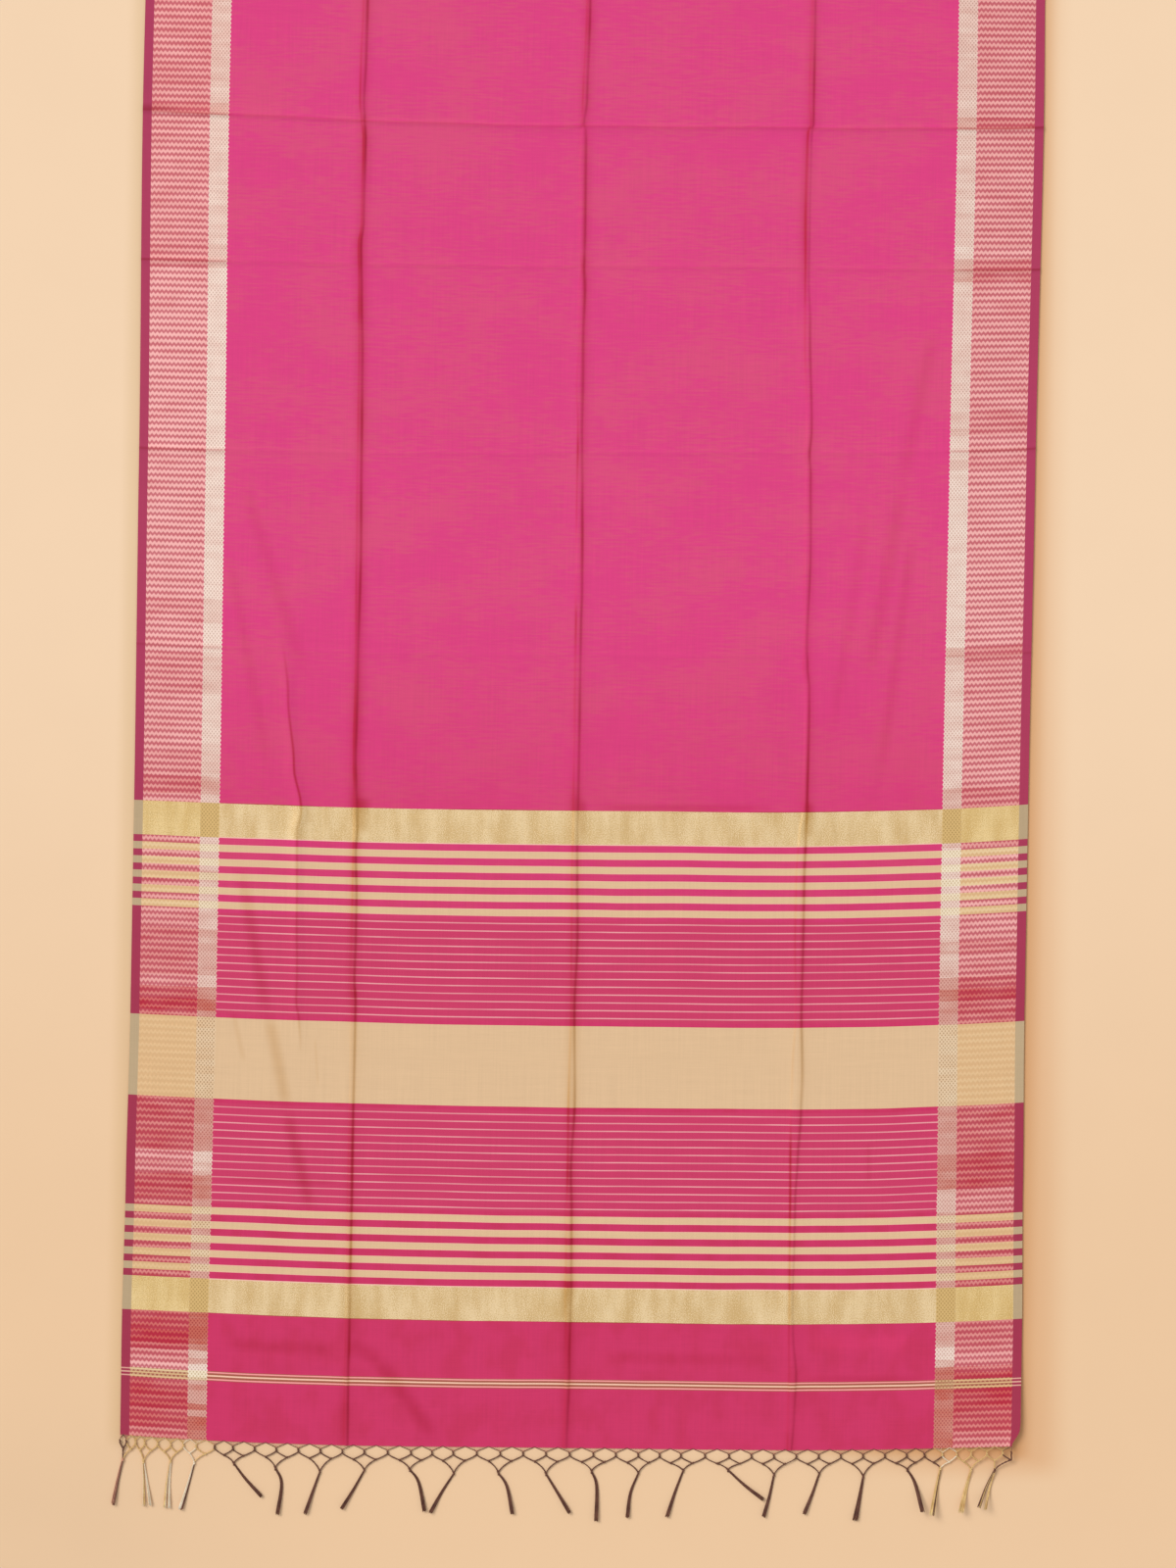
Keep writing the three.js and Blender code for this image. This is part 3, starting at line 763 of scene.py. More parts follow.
# The weft wanders a little, so no band's edge is quite straight.
wander = weave.noise(across, from_hem, 0.006, 0.004)
weft = weave.math("MULTIPLY_ADD", weave.math("SUBTRACT", wander, 0.5), WEFT_WANDER, from_hem)
from_middle = weave.math("ABSOLUTE", weave.math("SUBTRACT", weft, PALLU_MIDDLE))

wide_band = weave.math("LESS_THAN", from_middle, WIDE_BAND)
stripe_place = weave.math("DIVIDE", weave.math("SUBTRACT", from_middle, STRIPES_FROM), STRIPE_PITCH)
stripe_share = weave.math("FRACT", stripe_place)
stripe_part = STRIPE_WIDTH / STRIPE_PITCH
in_stripes = weave.within(from_middle, STRIPES_FROM, GOLD_FROM)
stripes = weave.both(in_stripes, weave.math("LESS_THAN", stripe_share, stripe_part))
off_stripe = weave.math("ABSOLUTE", weave.math("SUBTRACT", stripe_share, stripe_part / 2))
stripe_edges = weave.math("GREATER_THAN", off_stripe, stripe_part / 2 - STRIPE_EDGE / STRIPE_PITCH)
stripe_edges = weave.both(stripes, stripe_edges)
line_place = weave.math("DIVIDE", weave.math("SUBTRACT", from_middle, WIDE_BAND), LINE_PITCH)
line_offset = weave.math("ABSOLUTE", weave.math("SUBTRACT", line_place, weave.math("ROUND", line_place)))
in_lines = weave.within(from_middle, WIDE_BAND + LINE_PITCH / 2, STRIPES_FROM - LINE_PITCH / 2)
lines = weave.both(in_lines, weave.math("LESS_THAN", line_offset, LINE_WIDTH / LINE_PITCH / 2))
gold = weave.within(from_middle, GOLD_FROM, GOLD_TO)
triple = weave.within(weft, TRIPLE_FROM, TRIPLE_TO)
triple_pink = weave.either(weave.within(weft, *TRIPLE_LOW), weave.within(weft, *TRIPLE_TOP))
triple_cream = weave.within(weft, *TRIPLE_MIDDLE)
beige = weave.either(wide_band, stripes)
pale_weft = weave.either(weave.either(beige, gold), triple)

# Tones that vary over the cloth: slubs along the weft, uneven warp, and the zari's painted glitter.
slub = weave.noise(across, from_hem, 0.03, 0.75, detail=3.0)
long_slub = weave.noise(across, from_hem, 0.006, 0.16, z=7.0)
warp_tone = weave.noise(across, from_hem, 0.5, 0.012, z=3.0)
painted_glitter = weave.noise(across, from_hem, 0.75, 0.9, detail=3.0, z=11.0)
gold_patches = weave.noise(across, from_hem, 0.045, 0.015, z=5.0)

# Shot cloth: the warp shows through the weft in streaks and patches, more salmon than magenta.
streaks = weave.noise(across, from_hem, 0.045, 0.36, detail=4.0, z=13.0)
patches = weave.noise(across, from_hem, 0.008, 0.014, z=17.0)
shot = weave.sum((streaks, 0.7), (patches, 0.6))
# Towards the hem the pink goes darker: partly the pallu's deeper weave, partly painted falloff of the
# light.
to_pallu = weave.fade(from_hem, 1150.0, 350.0)
body_pink = weave.mix(weave.fade(shot, 0.54, 0.78), PINK_MAGENTA, PINK_SALMON)
pallu_patches = weave.noise(across, from_hem, 0.03, 0.02, detail=3.0, z=19.0)
pallu_pink = weave.mix(weave.fade(pallu_patches, 0.4, 0.68), PALLU_PINK, PALLU_CRIMSON)
pink = weave.mix(to_pallu, body_pink, pallu_pink)

# Painted glitter and random patches move the gold between its painted shade and its lit colour.
gold_tone = weave.sum((painted_glitter, 1.4), (gold_patches, 0.6))
gold_light = weave.fade(gold_tone, 0.84, 1.16)
gold_colour = weave.mix(gold_light, GOLD_SHADE, GOLD)
line_strength = weave.fade(weave.noise(across, from_hem, 0.009, 0.1, z=23.0), 0.35, 0.65, 0.6, 1.0)
plain = weave.mix(beige, pink, BEIGE)
plain = weave.mix(weave.math("MULTIPLY", stripe_edges, 0.55), plain, BEIGE_EDGE)
plain = weave.mix(in_lines, plain, BETWEEN_LINES)
plain = weave.mix(weave.both(lines, line_strength), plain, THIN_LINE)
plain = weave.mix(gold, plain, gold_colour)
brown_edge = weave.both(
    weave.within(from_middle, *BROWN_EDGE), weave.fade(long_slub, 0.45, 0.6, 0.1, 0.8))
plain = weave.mix(brown_edge, plain, GOLD_BROWN_EDGE)
pale_edge = weave.math("MULTIPLY", weave.within(from_middle, *PALE_EDGE), 0.8)
plain = weave.mix(pale_edge, plain, GOLD_PALE_EDGE)
plain = weave.mix(triple, plain, TRIPLE_BROWN)
plain = weave.mix(triple_pink, plain, TRIPLE_PINK)
plain = weave.mix(triple_cream, plain, TRIPLE_CREAM)

# The borders' zari, with painted highlight and painted shade along each border.
ripple_place = weave.math("MULTIPLY_ADD", weave.math("SUBTRACT", slub, 0.5), 5.0, from_hem)
ripple_place = weave.math("PINGPONG", ripple_place, LAID_LENGTH / MM)
left_shine = weave.steps(ripple_place, LEFT_SHINE, LAID_LENGTH / MM)
right_shine = weave.steps(ripple_place, RIGHT_SHINE, LAID_LENGTH / MM)
on_right = weave.math("GREATER_THAN", across, 0.0)
shine = weave.mix(on_right, left_shine, right_shine)
hem_shine = weave.mix(on_right, *(
    weave.steps(ripple_place, stops, HEM_SHINE_TO) for stops in (LEFT_HEM_SHINE, RIGHT_HEM_SHINE)))
shines = weave.add("ShaderNodeSeparateColor")
weave.feed(shines.inputs[0], weave.mix(
    weave.math("LESS_THAN", ripple_place, HEM_SHINE_TO), shine, hem_shine))

tooth_place = weave.math("PINGPONG", edge, TOOTH_PITCH / 2)
tooth = weave.math("MULTIPLY", tooth_place, TOOTH_DEPTH * 2 / TOOTH_PITCH)
zigzag_place = weave.math("DIVIDE", weave.math("ADD", weft, tooth), ZIGZAG_PITCH)
zigzag_row = weave.math("ROUND", zigzag_place)
from_zigzag = weave.math("ABSOLUTE", weave.math("SUBTRACT", zigzag_place, zigzag_row))

# Each zigzag row's painted highlight differs a little from the next, and is not the same all along.
row_shine = weave.noise(zigzag_row, edge, 0.8, 0.018, z=29.0)
shine_change = weave.sum((weave.math("SUBTRACT", row_shine, 0.5), 0.6),
                         (weave.math("SUBTRACT", long_slub, 0.5), 0.4))
shine, silver_shine = (
    weave.math("MINIMUM", weave.either(weave.math("ADD", shine_change, shines.outputs[i]), 0.0), 1.0)
    for i in (0, 1))


def over_wefts(painted_shine_share, shaded_zari, lit_zari, shaded_on_pale, lit_on_pale):
    """Zari's colour from painted shade to painted highlight, over the pink weft and over the pale."""
    on_pink = weave.mix(painted_shine_share, shaded_zari, lit_zari)
    on_pale = weave.mix(painted_shine_share, shaded_on_pale, lit_on_pale)
    return weave.mix(pale_weft, on_pink, on_pale)


# Where its painted highlight is weak, a row is painted with more of its red line.
line_half = ZIGZAG_LINE / ZIGZAG_PITCH / 2
from_line = weave.math("SUBTRACT", from_zigzag, LINE_WIDENS)
from_line = weave.math("MULTIPLY_ADD", shine, LINE_WIDENS, from_line)
zigzag = weave.fade(from_line, line_half + LINE_SOFTNESS, line_half - LINE_SOFTNESS)
zigzag_ground = over_wefts(shine, *ZIGZAG_GROUND)
zigzag_line = over_wefts(shine, *ZIGZAG_LINES)
triple_gap = weave.math("SUBTRACT", triple, weave.either(triple_cream, triple_pink))
zigzag_line = weave.mix(triple_gap, zigzag_line, TRIPLE_BROWN)
zigzag_ground = weave.mix(weave.math("MULTIPLY", triple_gap, 0.5), zigzag_ground, TRIPLE_BROWN)
zigzag_colour = weave.mix(zigzag, zigzag_ground, zigzag_line)
zigzag_colour = weave.mix(gold, zigzag_colour, weave.mix(
    gold_light, ZIGZAG_OVER_GOLD_SHADE, ZIGZAG_OVER_GOLD))

eye_across = weave.math("COSINE", weave.math("MULTIPLY", edge, 2 * math.pi / EYE_ACROSS))
eye_along = weave.math("COSINE", weave.math("MULTIPLY", weft, 2 * math.pi / EYE_ALONG))
eyes = weave.fade(weave.both(eye_across, eye_along), 0.05, 0.5)
silver_ground = weave.mix(gold, over_wefts(silver_shine, *SILVER_GROUND), SILVER_OVER_GOLD)
silver_eye = weave.mix(gold, over_wefts(silver_shine, *SILVER_EYES), SILVER_EYE_OVER_GOLD)
# Where the silver's painted highlight is weak, the triple line's gaps take painted brown shade.
shaded_triple_gap = weave.both(triple_gap, weave.math("SUBTRACT", 0.7, silver_shine))
silver_ground = weave.mix(weave.either(shaded_triple_gap, 0.0), silver_ground, TRIPLE_BROWN)
silver_colour = weave.mix(eyes, silver_ground, silver_eye)

# The plum selvedge too is darker towards the hem: partly deeper weave, partly painted falloff of the
# light.
plum = weave.mix(to_pallu, PLUM, PLUM_HEM)
plum = weave.mix(weave.either(beige, gold), plum, PLUM_OVER_BEIGE)
plum = weave.mix(weave.math("MULTIPLY", weave.either(triple_cream, triple_pink), 0.6), plum, TRIPLE_CREAM)
scallop = weave.math("MULTIPLY_ADD", eye_along, 0.6, edge)
in_silver = weave.within(scallop, ZIGZAG_TO, SILVER_TO)
in_zigzag = weave.within(edge, SELVEDGE, ZIGZAG_TO)
in_selvedge = weave.math("LESS_THAN", edge, SELVEDGE)
zari = weave.either(in_silver, in_zigzag)
surface = weave.mix(in_silver, plain, silver_colour)
surface = weave.mix(in_zigzag, surface, zigzag_colour)
surface = weave.mix(in_selvedge, surface, plum)

# Slubs and the uneven warp shade the colour.
shade = weave.sum((slub, 0.12), (warp_tone, 0.12), (long_slub, 0.06))
surface = weave.scaled(surface, weave.math("ADD", shade, 0.85))

# Painted shade along the folds' flanks and the soft creases, painted light where it goes below zero.
fold_shade_attribute = weave.add("ShaderNodeAttribute", attribute_name="painted_fold_shade")
painted_shade_share = fold_shade_attribute.outputs["Fac"]
for crease in CREASES:
    run_across = crease["to_across"] - crease["across"]
    run_down = crease["to_hem"] - crease["from_hem"]
    length = math.hypot(run_across, run_down)
    heading_across, heading_down = run_across / length, run_down / length
    start_on = crease["across"] * heading_across + crease["from_hem"] * heading_down
    start_off = crease["across"] * heading_down - crease["from_hem"] * heading_across
    on_line = weave.math("MULTIPLY_ADD", across, heading_across, weave.math(
        "MULTIPLY_ADD", from_hem, heading_down, -start_on - length / 2))
    off_line = weave.math("MULTIPLY_ADD", across, heading_down, weave.math(
        "MULTIPLY_ADD", from_hem, -heading_across, -start_off))
    beside = weave.fade(weave.math("ABSOLUTE", off_line), 0.0, crease["reach"], crease["tone"], 0.0)
    ends = weave.fade(weave.math("ABSOLUTE", on_line), length * 0.3, length / 2 + 2, 1.0, 0.0)
    painted_shade_share = weave.math("MULTIPLY_ADD", beside, ends, painted_shade_share)
painted_shade_share = weave.both(painted_shade_share, weave.math("MULTIPLY_ADD", pale_weft, -0.3, 1.0))
fold_shade_tint = weave.mix(pale_weft, FOLD_SHADE_TINT, PALE_FOLD_SHADE_TINT)
darker = weave.mix(1.0, surface, fold_shade_tint, "MULTIPLY")
# Below zero the share gives painted light: the colour is made lighter.
lighter = weave.scaled(surface, weave.fade(painted_shade_share, 0.0, -1.0, 1.0, 1.35))
surface = weave.mix(weave.either(painted_shade_share, 0.0), lighter, darker)

# Threads: the weave's own relief, with the zari's floats standing a little higher.
THREAD_PITCH = 0.55
warp_threads = weave.math("SINE", weave.math("MULTIPLY", across, 2 * math.pi / THREAD_PITCH))
weft_threads = weave.math("SINE", weave.math("MULTIPLY", from_hem, 2 * math.pi / THREAD_PITCH))
float_relief = weave.either(weave.both(in_zigzag, zigzag), weave.both(in_silver, eyes))
relief = weave.sum((weave.both(warp_threads, weft_threads), 0.25), (float_relief, -1.0), (slub, 0.8))
metallic_yarn = weave.either(zari, gold)
weave.surface({
    "Base Color": surface,
    "Roughness": weave.math("MULTIPLY_ADD", metallic_yarn, -0.36, 0.78),
    "Metallic": weave.math("MULTIPLY", metallic_yarn, 0.2),
    "Normal": weave.bump(relief, 0.5, 0.12 * MM),
    "Specular IOR Level": 0.2,
    "Sheen Weight": 0.12,
    "Sheen Roughness": 0.4,
    "Sheen Tint": colour(250, 170, 190),
})

laid_cloth.data.materials.append(cloth_material)
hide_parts("pallu", "body")
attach(laid_cloth, "root")


# ---- Folded rest ----
# The other 3.17 m of the same cloth, folded back and forth on the far end in eight loose layers. Each
# turn is rounded, since the cloth is springy, and no two layers end quite in line.

LAYER_BOTTOM = 1.5 * MM
LAYER_WALL = 1.5 * MM
LAYER_PITCH = 1.9 * MM
NEAR_TURNS = (0, 6, -3, 4)  # millimetres past the near edge, from the bottom up
FAR_TURNS = (0, -5, 3, -4, -9)
LAYER_SHIFTS = (1, -2, 3, 2, -3, -1, 2, -2)
SEAM_GAP = 0.3 * MM
TURN_STEPS = 8
RUN_STEPS = 14
STACK_COLUMNS = 48
STACK_SPREAD = 2 * MM  # each half is this much wider than the cloth was cut, as under it
LAYER_WAVER = 0.32 * MM  # how much each layer rises and sinks,
WAVER_PER_METRE = (6, 9, 3)  # and how often: across, along the floor and along the cloth
LAYER_DRIFT = 2.2 * MM  # how far its ends stray from a straight line,
DRIFT_PER_METRE = (2.5, 4)  # and how often: across and along the cloth
DRIFT_APART = 8.0


def layer_height(layer):
    """The middle of a layer of the stack; layer 0 is the laid cloth under it."""
    if layer == 0:
        return CLEARANCE + CLOTH_THICKNESS / 2
    return LAYER_BOTTOM + (layer - 1) * LAYER_PITCH + LAYER_WALL / 2


def near_end(layer):
    return LAID_LENGTH - NEAR_TURNS[(layer - 1) // 2] * MM


def far_end(layer):
    return FAR_EDGE + SEAM_GAP + FAR_TURNS[layer // 2] * MM


def half_turn(edge, lower, side):
    """Stops round the turn from one layer to the next, as (from hem, height, shift across)."""
    low, high = layer_height(lower), layer_height(lower + 1)
    radius = (high - low) / 2
    shift_low = LAYER_SHIFTS[max(lower - 1, 0)] * MM
    shift_high = LAYER_SHIFTS[lower] * MM
    stops = []
    for step in range(TURN_STEPS + 1):
        angle = math.pi * step / TURN_STEPS
        share = step / TURN_STEPS
        stops.append((
            edge + side * radius * math.sin(angle),
            (low + high) / 2 - radius * math.cos(angle),
            shift_low + (shift_high - shift_low) * share,
        ))
    return stops


stack_path = half_turn(far_end(0), 0, 1)
for layer in range(1, FOLDED_LAYERS + 1):
    towards_near = layer % 2 == 1
    start, end = far_end(layer), near_end(layer)
    if not towards_near:
        start, end = end, start
    shift = LAYER_SHIFTS[layer - 1] * MM
    for step in range(1, RUN_STEPS):
        share = step / RUN_STEPS
        stack_path.append((start + (end - start) * share, layer_height(layer), shift))
    if layer == FOLDED_LAYERS:
        stack_path.append((end, layer_height(layer), shift))
    else:
        stack_path += half_turn(end, layer, -1 if towards_near else 1)

stack_rows = []
run = FAR_EDGE
for index, (place, height, shift) in enumerate(stack_path):
    if index:
        before = stack_path[index - 1]
        run += math.hypot(place - before[0], height - before[1])
    row = []
    for column in range(STACK_COLUMNS + 1):
        across = CLOTH_WIDTH * (column / STACK_COLUMNS - 0.5)
        waver = noise.noise(Vector((across, place, run)) * Vector(WAVER_PER_METRE))
        lift = LAYER_WAVER * waver * min(height / LAYER_PITCH, 1.0)
        stray = Vector((across * DRIFT_PER_METRE[0], run * DRIFT_PER_METRE[1], DRIFT_APART))
        drift = LAYER_DRIFT * noise.noise(stray)
        x = MIDDLE_X + across * (1 + STACK_SPREAD / HALF_WIDTH) + shift
        row.append(((x, HEM_Y + place + drift, height + lift), (across, run)))
    stack_rows.append(row)
folded_rest = add_sheet("folded_rest_layers", stack_rows)
apply_thickness(folded_rest, CLOTH_THICKNESS, 0)
folded_rest.data.materials.append(cloth_material)
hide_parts("folded_rest")
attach(folded_rest, "root")


# ---- Fringe ----
# The warp ends past the hem, gathered by hand into two rows of knots and then, four strands together,
# into 23 tassels. Each strand is two plies twisted on each other. The borders' ends are gold and
# silver zari, and the rest are the dark plum warp.

FIRST_KNOT_DOWN = 8.0 * MM  # each row's middle, from the hem
SECOND_KNOT_DOWN = 17.5 * MM
FIRST_KNOT = (4.8 * MM, 1.5 * MM)  # a knot's length and half its width
SECOND_KNOT = (4.0 * MM, 1.4 * MM)
TASSEL_KNOT = (6.0 * MM, 1.75 * MM)
FIRST_KNOT_HEIGHT = 1.25 * MM  # its middle off the floor
SECOND_KNOT_HEIGHT = 1.2 * MM
TASSEL_KNOT_HEIGHT = 1.35 * MM
BEND_HEIGHT = 1.1 * MM
KNOT_TILT = 0.12  # the first row's knots lean this much to either side
KNOT_SIZES = (0.92, 1.1)  # and all of them differ in size between these
ROUND_KNOT = 0.5  # how a knot's thread map goes round it and along it
ALONG_KNOT = 0.004
ZARI_TURN = 9 * MM  # in the silver zone, silver ends and gold ends take turns
PLY_RADIUS = 0.62 * MM
PLY_APART = 0.5 * MM  # each ply's middle from the strand's
PLY_TURN = 3.2 * MM  # length of one full twist
PLY_SIDES = 5
STRAND_HEIGHT = 1.25 * MM
STRAND_LEAVES = 1.8 * MM  # a strand leaves a first-row knot this far below its middle,
STRAND_FALLS = 4.6 * MM  # falls this far before it turns inward,
STRAND_ARRIVES = 2.6 * MM  # and comes into a second-row knot from this far above
GATHER_RADIUS = 0.15 * MM
OUTER_GATHER_RADIUS = 0.42 * MM
ENDS_PER_SIDE = 5  # warp ends drawn from either side into a knot
MOUTH_DOWN = 1.8 * MM  # the ends start straight down, the outer ones a little further,
MOUTH_SLANT = 0.6 * MM
MOUTH_REACH = 0.62  # and here have come in to this share of where they started,
NECK_REACH = 0.12  # then to this share of it,
NECK_ABOVE = 4.4 * MM  # this far above the knot
TASSEL_THREADS = 24
TASSEL_THREAD_RADIUS = 0.38 * MM
TASSEL_HALF_WIDTHS = (0.8 * MM, 1.5 * MM, 2.2 * MM)  # at the knot, the bend and the tip
SPREAD_POWERS = (0.3, 0.8, 1)  # how fully a tassel's spread widens it at each of these
TASSEL_HEIGHTS = ((0.9, 0.9), (0.6, 1.2), (0.45, 1.4))  # millimetres: lowest thread, and up to the top
TIP_UNEVEN = (-1.6, 1.2)  # millimetres that a thread is cut short or long
THREAD_STRAY = 0.35  # millimetres that a thread lies off its place
THREAD_RADII = (0.85, 1.1)
CUT_TAPER = 0.8
BEND_PULL = 0.17  # how round a thread goes over the bend,
END_PULL = 0.3  # and how straight it comes from the knot and to the tip
MIXED_THREADS = 0.15  # the share of threads that lie in the other half's colour
THREAD_SIDES = 4
TIP_LIFT = 2.5 * MM  # the tassels' cut tips curl up a little, the rightmost ones more
RIGHT_TIP_LIFT = 11 * MM
RIGHT_TIPS_FROM = 420 * MM
SPLIT_SPREAD = 1.9  # a tassel spread wider than this falls in two locks
DARK, SILVER_THREAD, GOLD_THREAD, FINE_THREAD = 0, 1, 2, 3

TASSEL_COLUMNS = (
    "across", "knot_side", "knot_down", "bend_side", "bend_down", "tip_side", "tip_down",
    "first", "second", "spread")
TASSEL_ROWS = (
    (-566.9, -4.3, 31.6, -10.1, 58.3, -15.5, 90.0, FINE_THREAD, DARK, 1.0),
    (-543.7, -1.0, 32.6, 2.0, 59.2, 5.0, 87.6, GOLD_THREAD, SILVER_THREAD, 2.6),
    (-510.4, 0.2, 29.8, -2.4, 57.8, -3.1, 88.7, GOLD_THREAD, SILVER_THREAD, 2.0),
    (-477.7, -2.3, 29.7, -9.9, 59.3, -18.6, 89.6, SILVER_THREAD, DARK, 1.2),
    (-430.8, 1.5, 27.7, 17.2, 47.5, 37.6, 68.1, DARK, DARK, 1.0),
    (-375.3, -0.7, 31.5, 7.5, 50.8, 3.0, 90.4, DARK, DARK, 1.0),
    (-318.8, -0.3, 35.3, -8.9, 60.8, -18.0, 88.5, DARK, DARK, 1.0),
    (-262.7, 0.4, 31.7, -12.3, 55.4, -27.5, 80.6, DARK, DARK, 1.0),
    (-203.0, -1.2, 29.6, 10.4, 45.7, 18.7, 82.3, DARK, DARK, 1.0),
    (-149.0, 1.1, 34.6, -13.9, 58.8, -27.6, 84.0, DARK, DARK, 1.0),
    (-88.8, -2.0, 33.0, 9.1, 49.7, 16.9, 84.6, DARK, DARK, 1.0),
    (-30.4, 0.5, 33.3, 15.9, 57.5, 31.6, 82.4, DARK, DARK, 1.0),
    (30.3, -2.0, 29.4, 5.0, 48.2, 5.1, 92.2, DARK, DARK, 1.0),
    (87.7, 0.5, 31.4, -9.2, 57.3, -12.6, 87.4, DARK, DARK, 1.0),
    (142.3, 3.2, 27.4, -7.1, 56.4, -16.5, 85.9, DARK, DARK, 1.0),
    (203.9, -1.3, 25.5, 20.4, 45.1, 44.6, 62.8, DARK, DARK, 1.0),
    (261.2, 0.5, 32.1, -4.4, 57.8, -11.8, 84.7, DARK, DARK, 1.0),
    (318.4, 1.1, 30.5, -6.9, 55.6, -17.2, 81.1, DARK, DARK, 1.0),
    (375.2, 0.6, 34.9, -3.7, 62.6, -8.9, 89.5, DARK, DARK, 1.5),
    (431.0, 0.9, 26.2, 11.3, 43.5, 20.8, 78.6, DARK, DARK, 1.2),
    (476.4, -2.0, 25.7, -7.0, 54.0, -13.0, 82.6, GOLD_THREAD, DARK, 1.4),
    (513.0, 0.4, 29.0, -6.0, 56.1, -12.5, 80.6, GOLD_THREAD, GOLD_THREAD, 1.5),
    (553.0, -9.5, 30.5, -17.6, 53.4, -25.7, 76.5, DARK, GOLD_THREAD, 2.8),
)
TASSELS = table(TASSEL_COLUMNS, TASSEL_ROWS)


def spokes(path, i):
    """The two ways out from a path at one of its points: level, and upward."""
    heading = (path[min(i + 1, len(path) - 1)] - path[max(i - 1, 0)]).normalized()
    aside = heading.cross(Vector((0, 0, 1))).normalized()
    return aside, aside.cross(heading)


class ThreadMesh:
    """Collects thin closed tubes, with a thread map: once round, and metres along."""

    def __init__(self):
        self.points, self.faces, self.maps, self.materials = [], [], [], []

    def tube(self, path, radii, sides, material):
        first = len(self.points)
        last = len(path) - 1
        length = 0.0
        for i, centre in enumerate(path):
            aside, upward = spokes(path, i)
            for side in range(sides):
                angle = 2 * math.pi * side / sides
                spoke = aside * math.cos(angle) + upward * math.sin(angle)
                self.points.append(centre + spoke * radii[i])
        for i in range(last):
            step = (path[i + 1] - path[i]).length
            for side in range(sides):
                beyond = (side + 1) % sides
                a, b = first + i * sides + side, first + i * sides + beyond
                self.faces.append((a, b, b + sides, a + sides))
                left, right = side / sides, (side + 1) / sides
                self.maps.append(((left, length), (right, length),
                                  (right, length + step), (left, length + step)))
                self.materials.append(material)
            length += step
        for ring, order in ((0, -1), (last, 1)):
            corners = [first + ring * sides + side for side in range(sides)][::order]
            self.faces.append(tuple(corners))
            self.maps.append(((0.5, length),) * sides)
            self.materials.append(material)

    def as_object(self, name, materials):
        mesh = bpy.data.meshes.new(name)
        mesh.from_pydata(self.points, [], self.faces)
        layer = mesh.uv_layers.new(name="thread")
        layer.data.foreach_set("uv", [v for corners in self.maps for uv in corners for v in uv])
        for material in materials:
            mesh.materials.append(material)
        mesh.polygons.foreach_set("material_index", self.materials)
        mesh.polygons.foreach_set("use_smooth", [True] * len(self.faces))
        return add_object(name, mesh)


def on_floor(across, down, height):
    """A point of the fringe: across the cloth, down from the hem, and above the floor."""
    x, y = in_plan(across, -down)
    lift, _ = lie_of(across, -down)
    return Vector((x, y, lift + height))


def tassel_stop(tassel, stop, height):
    """Where a tassel has its knot, its bend or its tip."""
    across = (tassel["across"] + tassel[f"{stop}_side"]) * MM
    return on_floor(across, tassel[f"{stop}_down"] * MM, height)


def bow(start, start_pull, end_pull, end, steps):
    """A smooth bend from start to end, drawn towards two points on the way."""
    path = []
    for i in range(steps + 1):
        t = i / steps
        s = 1 - t
        path.append(start * s**3 + start_pull * 3 * s * s * t + end_pull * 3 * s * t * t + end * t**3)
    return path


def twisted(parts, path, material, phase):
    """Two plies twisted round each other along a path."""
    for ply in range(2):
        run = 0.0
        ply_path = []
        for i, centre in enumerate(path):
            if i:
                run += (centre - path[i - 1]).length
            aside, upward = spokes(path, i)
            angle = 2 * math.pi * run / PLY_TURN + math.pi * ply + phase
            ply_path.append(centre + (aside * math.cos(angle) + upward * math.sin(angle)) * PLY_APART)
        parts.tube(ply_path, [PLY_RADIUS] * len(path), PLY_SIDES, material)


def thread_at(across):
    """Which warp runs there: the dark one, or the borders' gold and silver zari."""
    from_edge = HALF_WIDTH - abs(across)
    if from_edge < SELVEDGE * MM or from_edge > SILVER_TO * MM:
        return DARK
    if from_edge > ZIGZAG_TO * MM:
        return SILVER_THREAD if int(from_edge / ZARI_TURN) % 2 else GOLD_THREAD
    return GOLD_THREAD


def add_thread_material(name, base, light, metallic, roughness):
    """One finish for threads: fibres along the thread, in uneven tones."""
    material, recipe = new_material(name)
    fibre = recipe.add("ShaderNodeGroup", node_tree=fibre_group)
    recipe.feed(fibre.inputs["Base"], base)
    recipe.feed(fibre.inputs["Light"], light)
    recipe.surface({
        "Base Color": fibre.outputs["Color"],
        "Normal": recipe.bump(fibre.outputs["Height"], 0.6, 0.1 * MM),
        "Metallic": metallic,
        "Roughness": roughness,
        "Specular IOR Level": 0.3,
    })
    return material


fibre_group = bpy.data.node_groups.new("Thread fibre", "ShaderNodeTree")
fibre_group.interface.new_socket("Base", in_out="INPUT", socket_type="NodeSocketColor")
fibre_group.interface.new_socket("Light", in_out="INPUT", socket_type="NodeSocketColor")
fibre_group.interface.new_socket("Color", in_out="OUTPUT", socket_type="NodeSocketColor")
fibre_group.interface.new_socket("Height", in_out="OUTPUT", socket_type="NodeSocketFloat")
fibres = Recipe(fibre_group)
fibre_in = fibres.add("NodeGroupInput")
fibre_out = fibres.add("NodeGroupOutput")
fibre_map = fibres.add("ShaderNodeUVMap", uv_map="thread")
round_thread, along_thread = fibres.first_two(fibre_map.outputs[0])
strand_fibres = fibres.noise(round_thread, along_thread, 9.0, 260.0, detail=3.0)
fibre_patches = fibres.noise(round_thread, along_thread, 1.0, 60.0, z=2.0)
fibre_tone = fibres.sum((strand_fibres, 0.7), (fibre_patches, 0.5))
cut_tip = fibres.fade(along_thread, 46 * MM, 62 * MM)  # only a tassel's threads are that long
light_share = fibres.either(fibres.fade(fibre_tone, 0.4, 0.85), cut_tip)
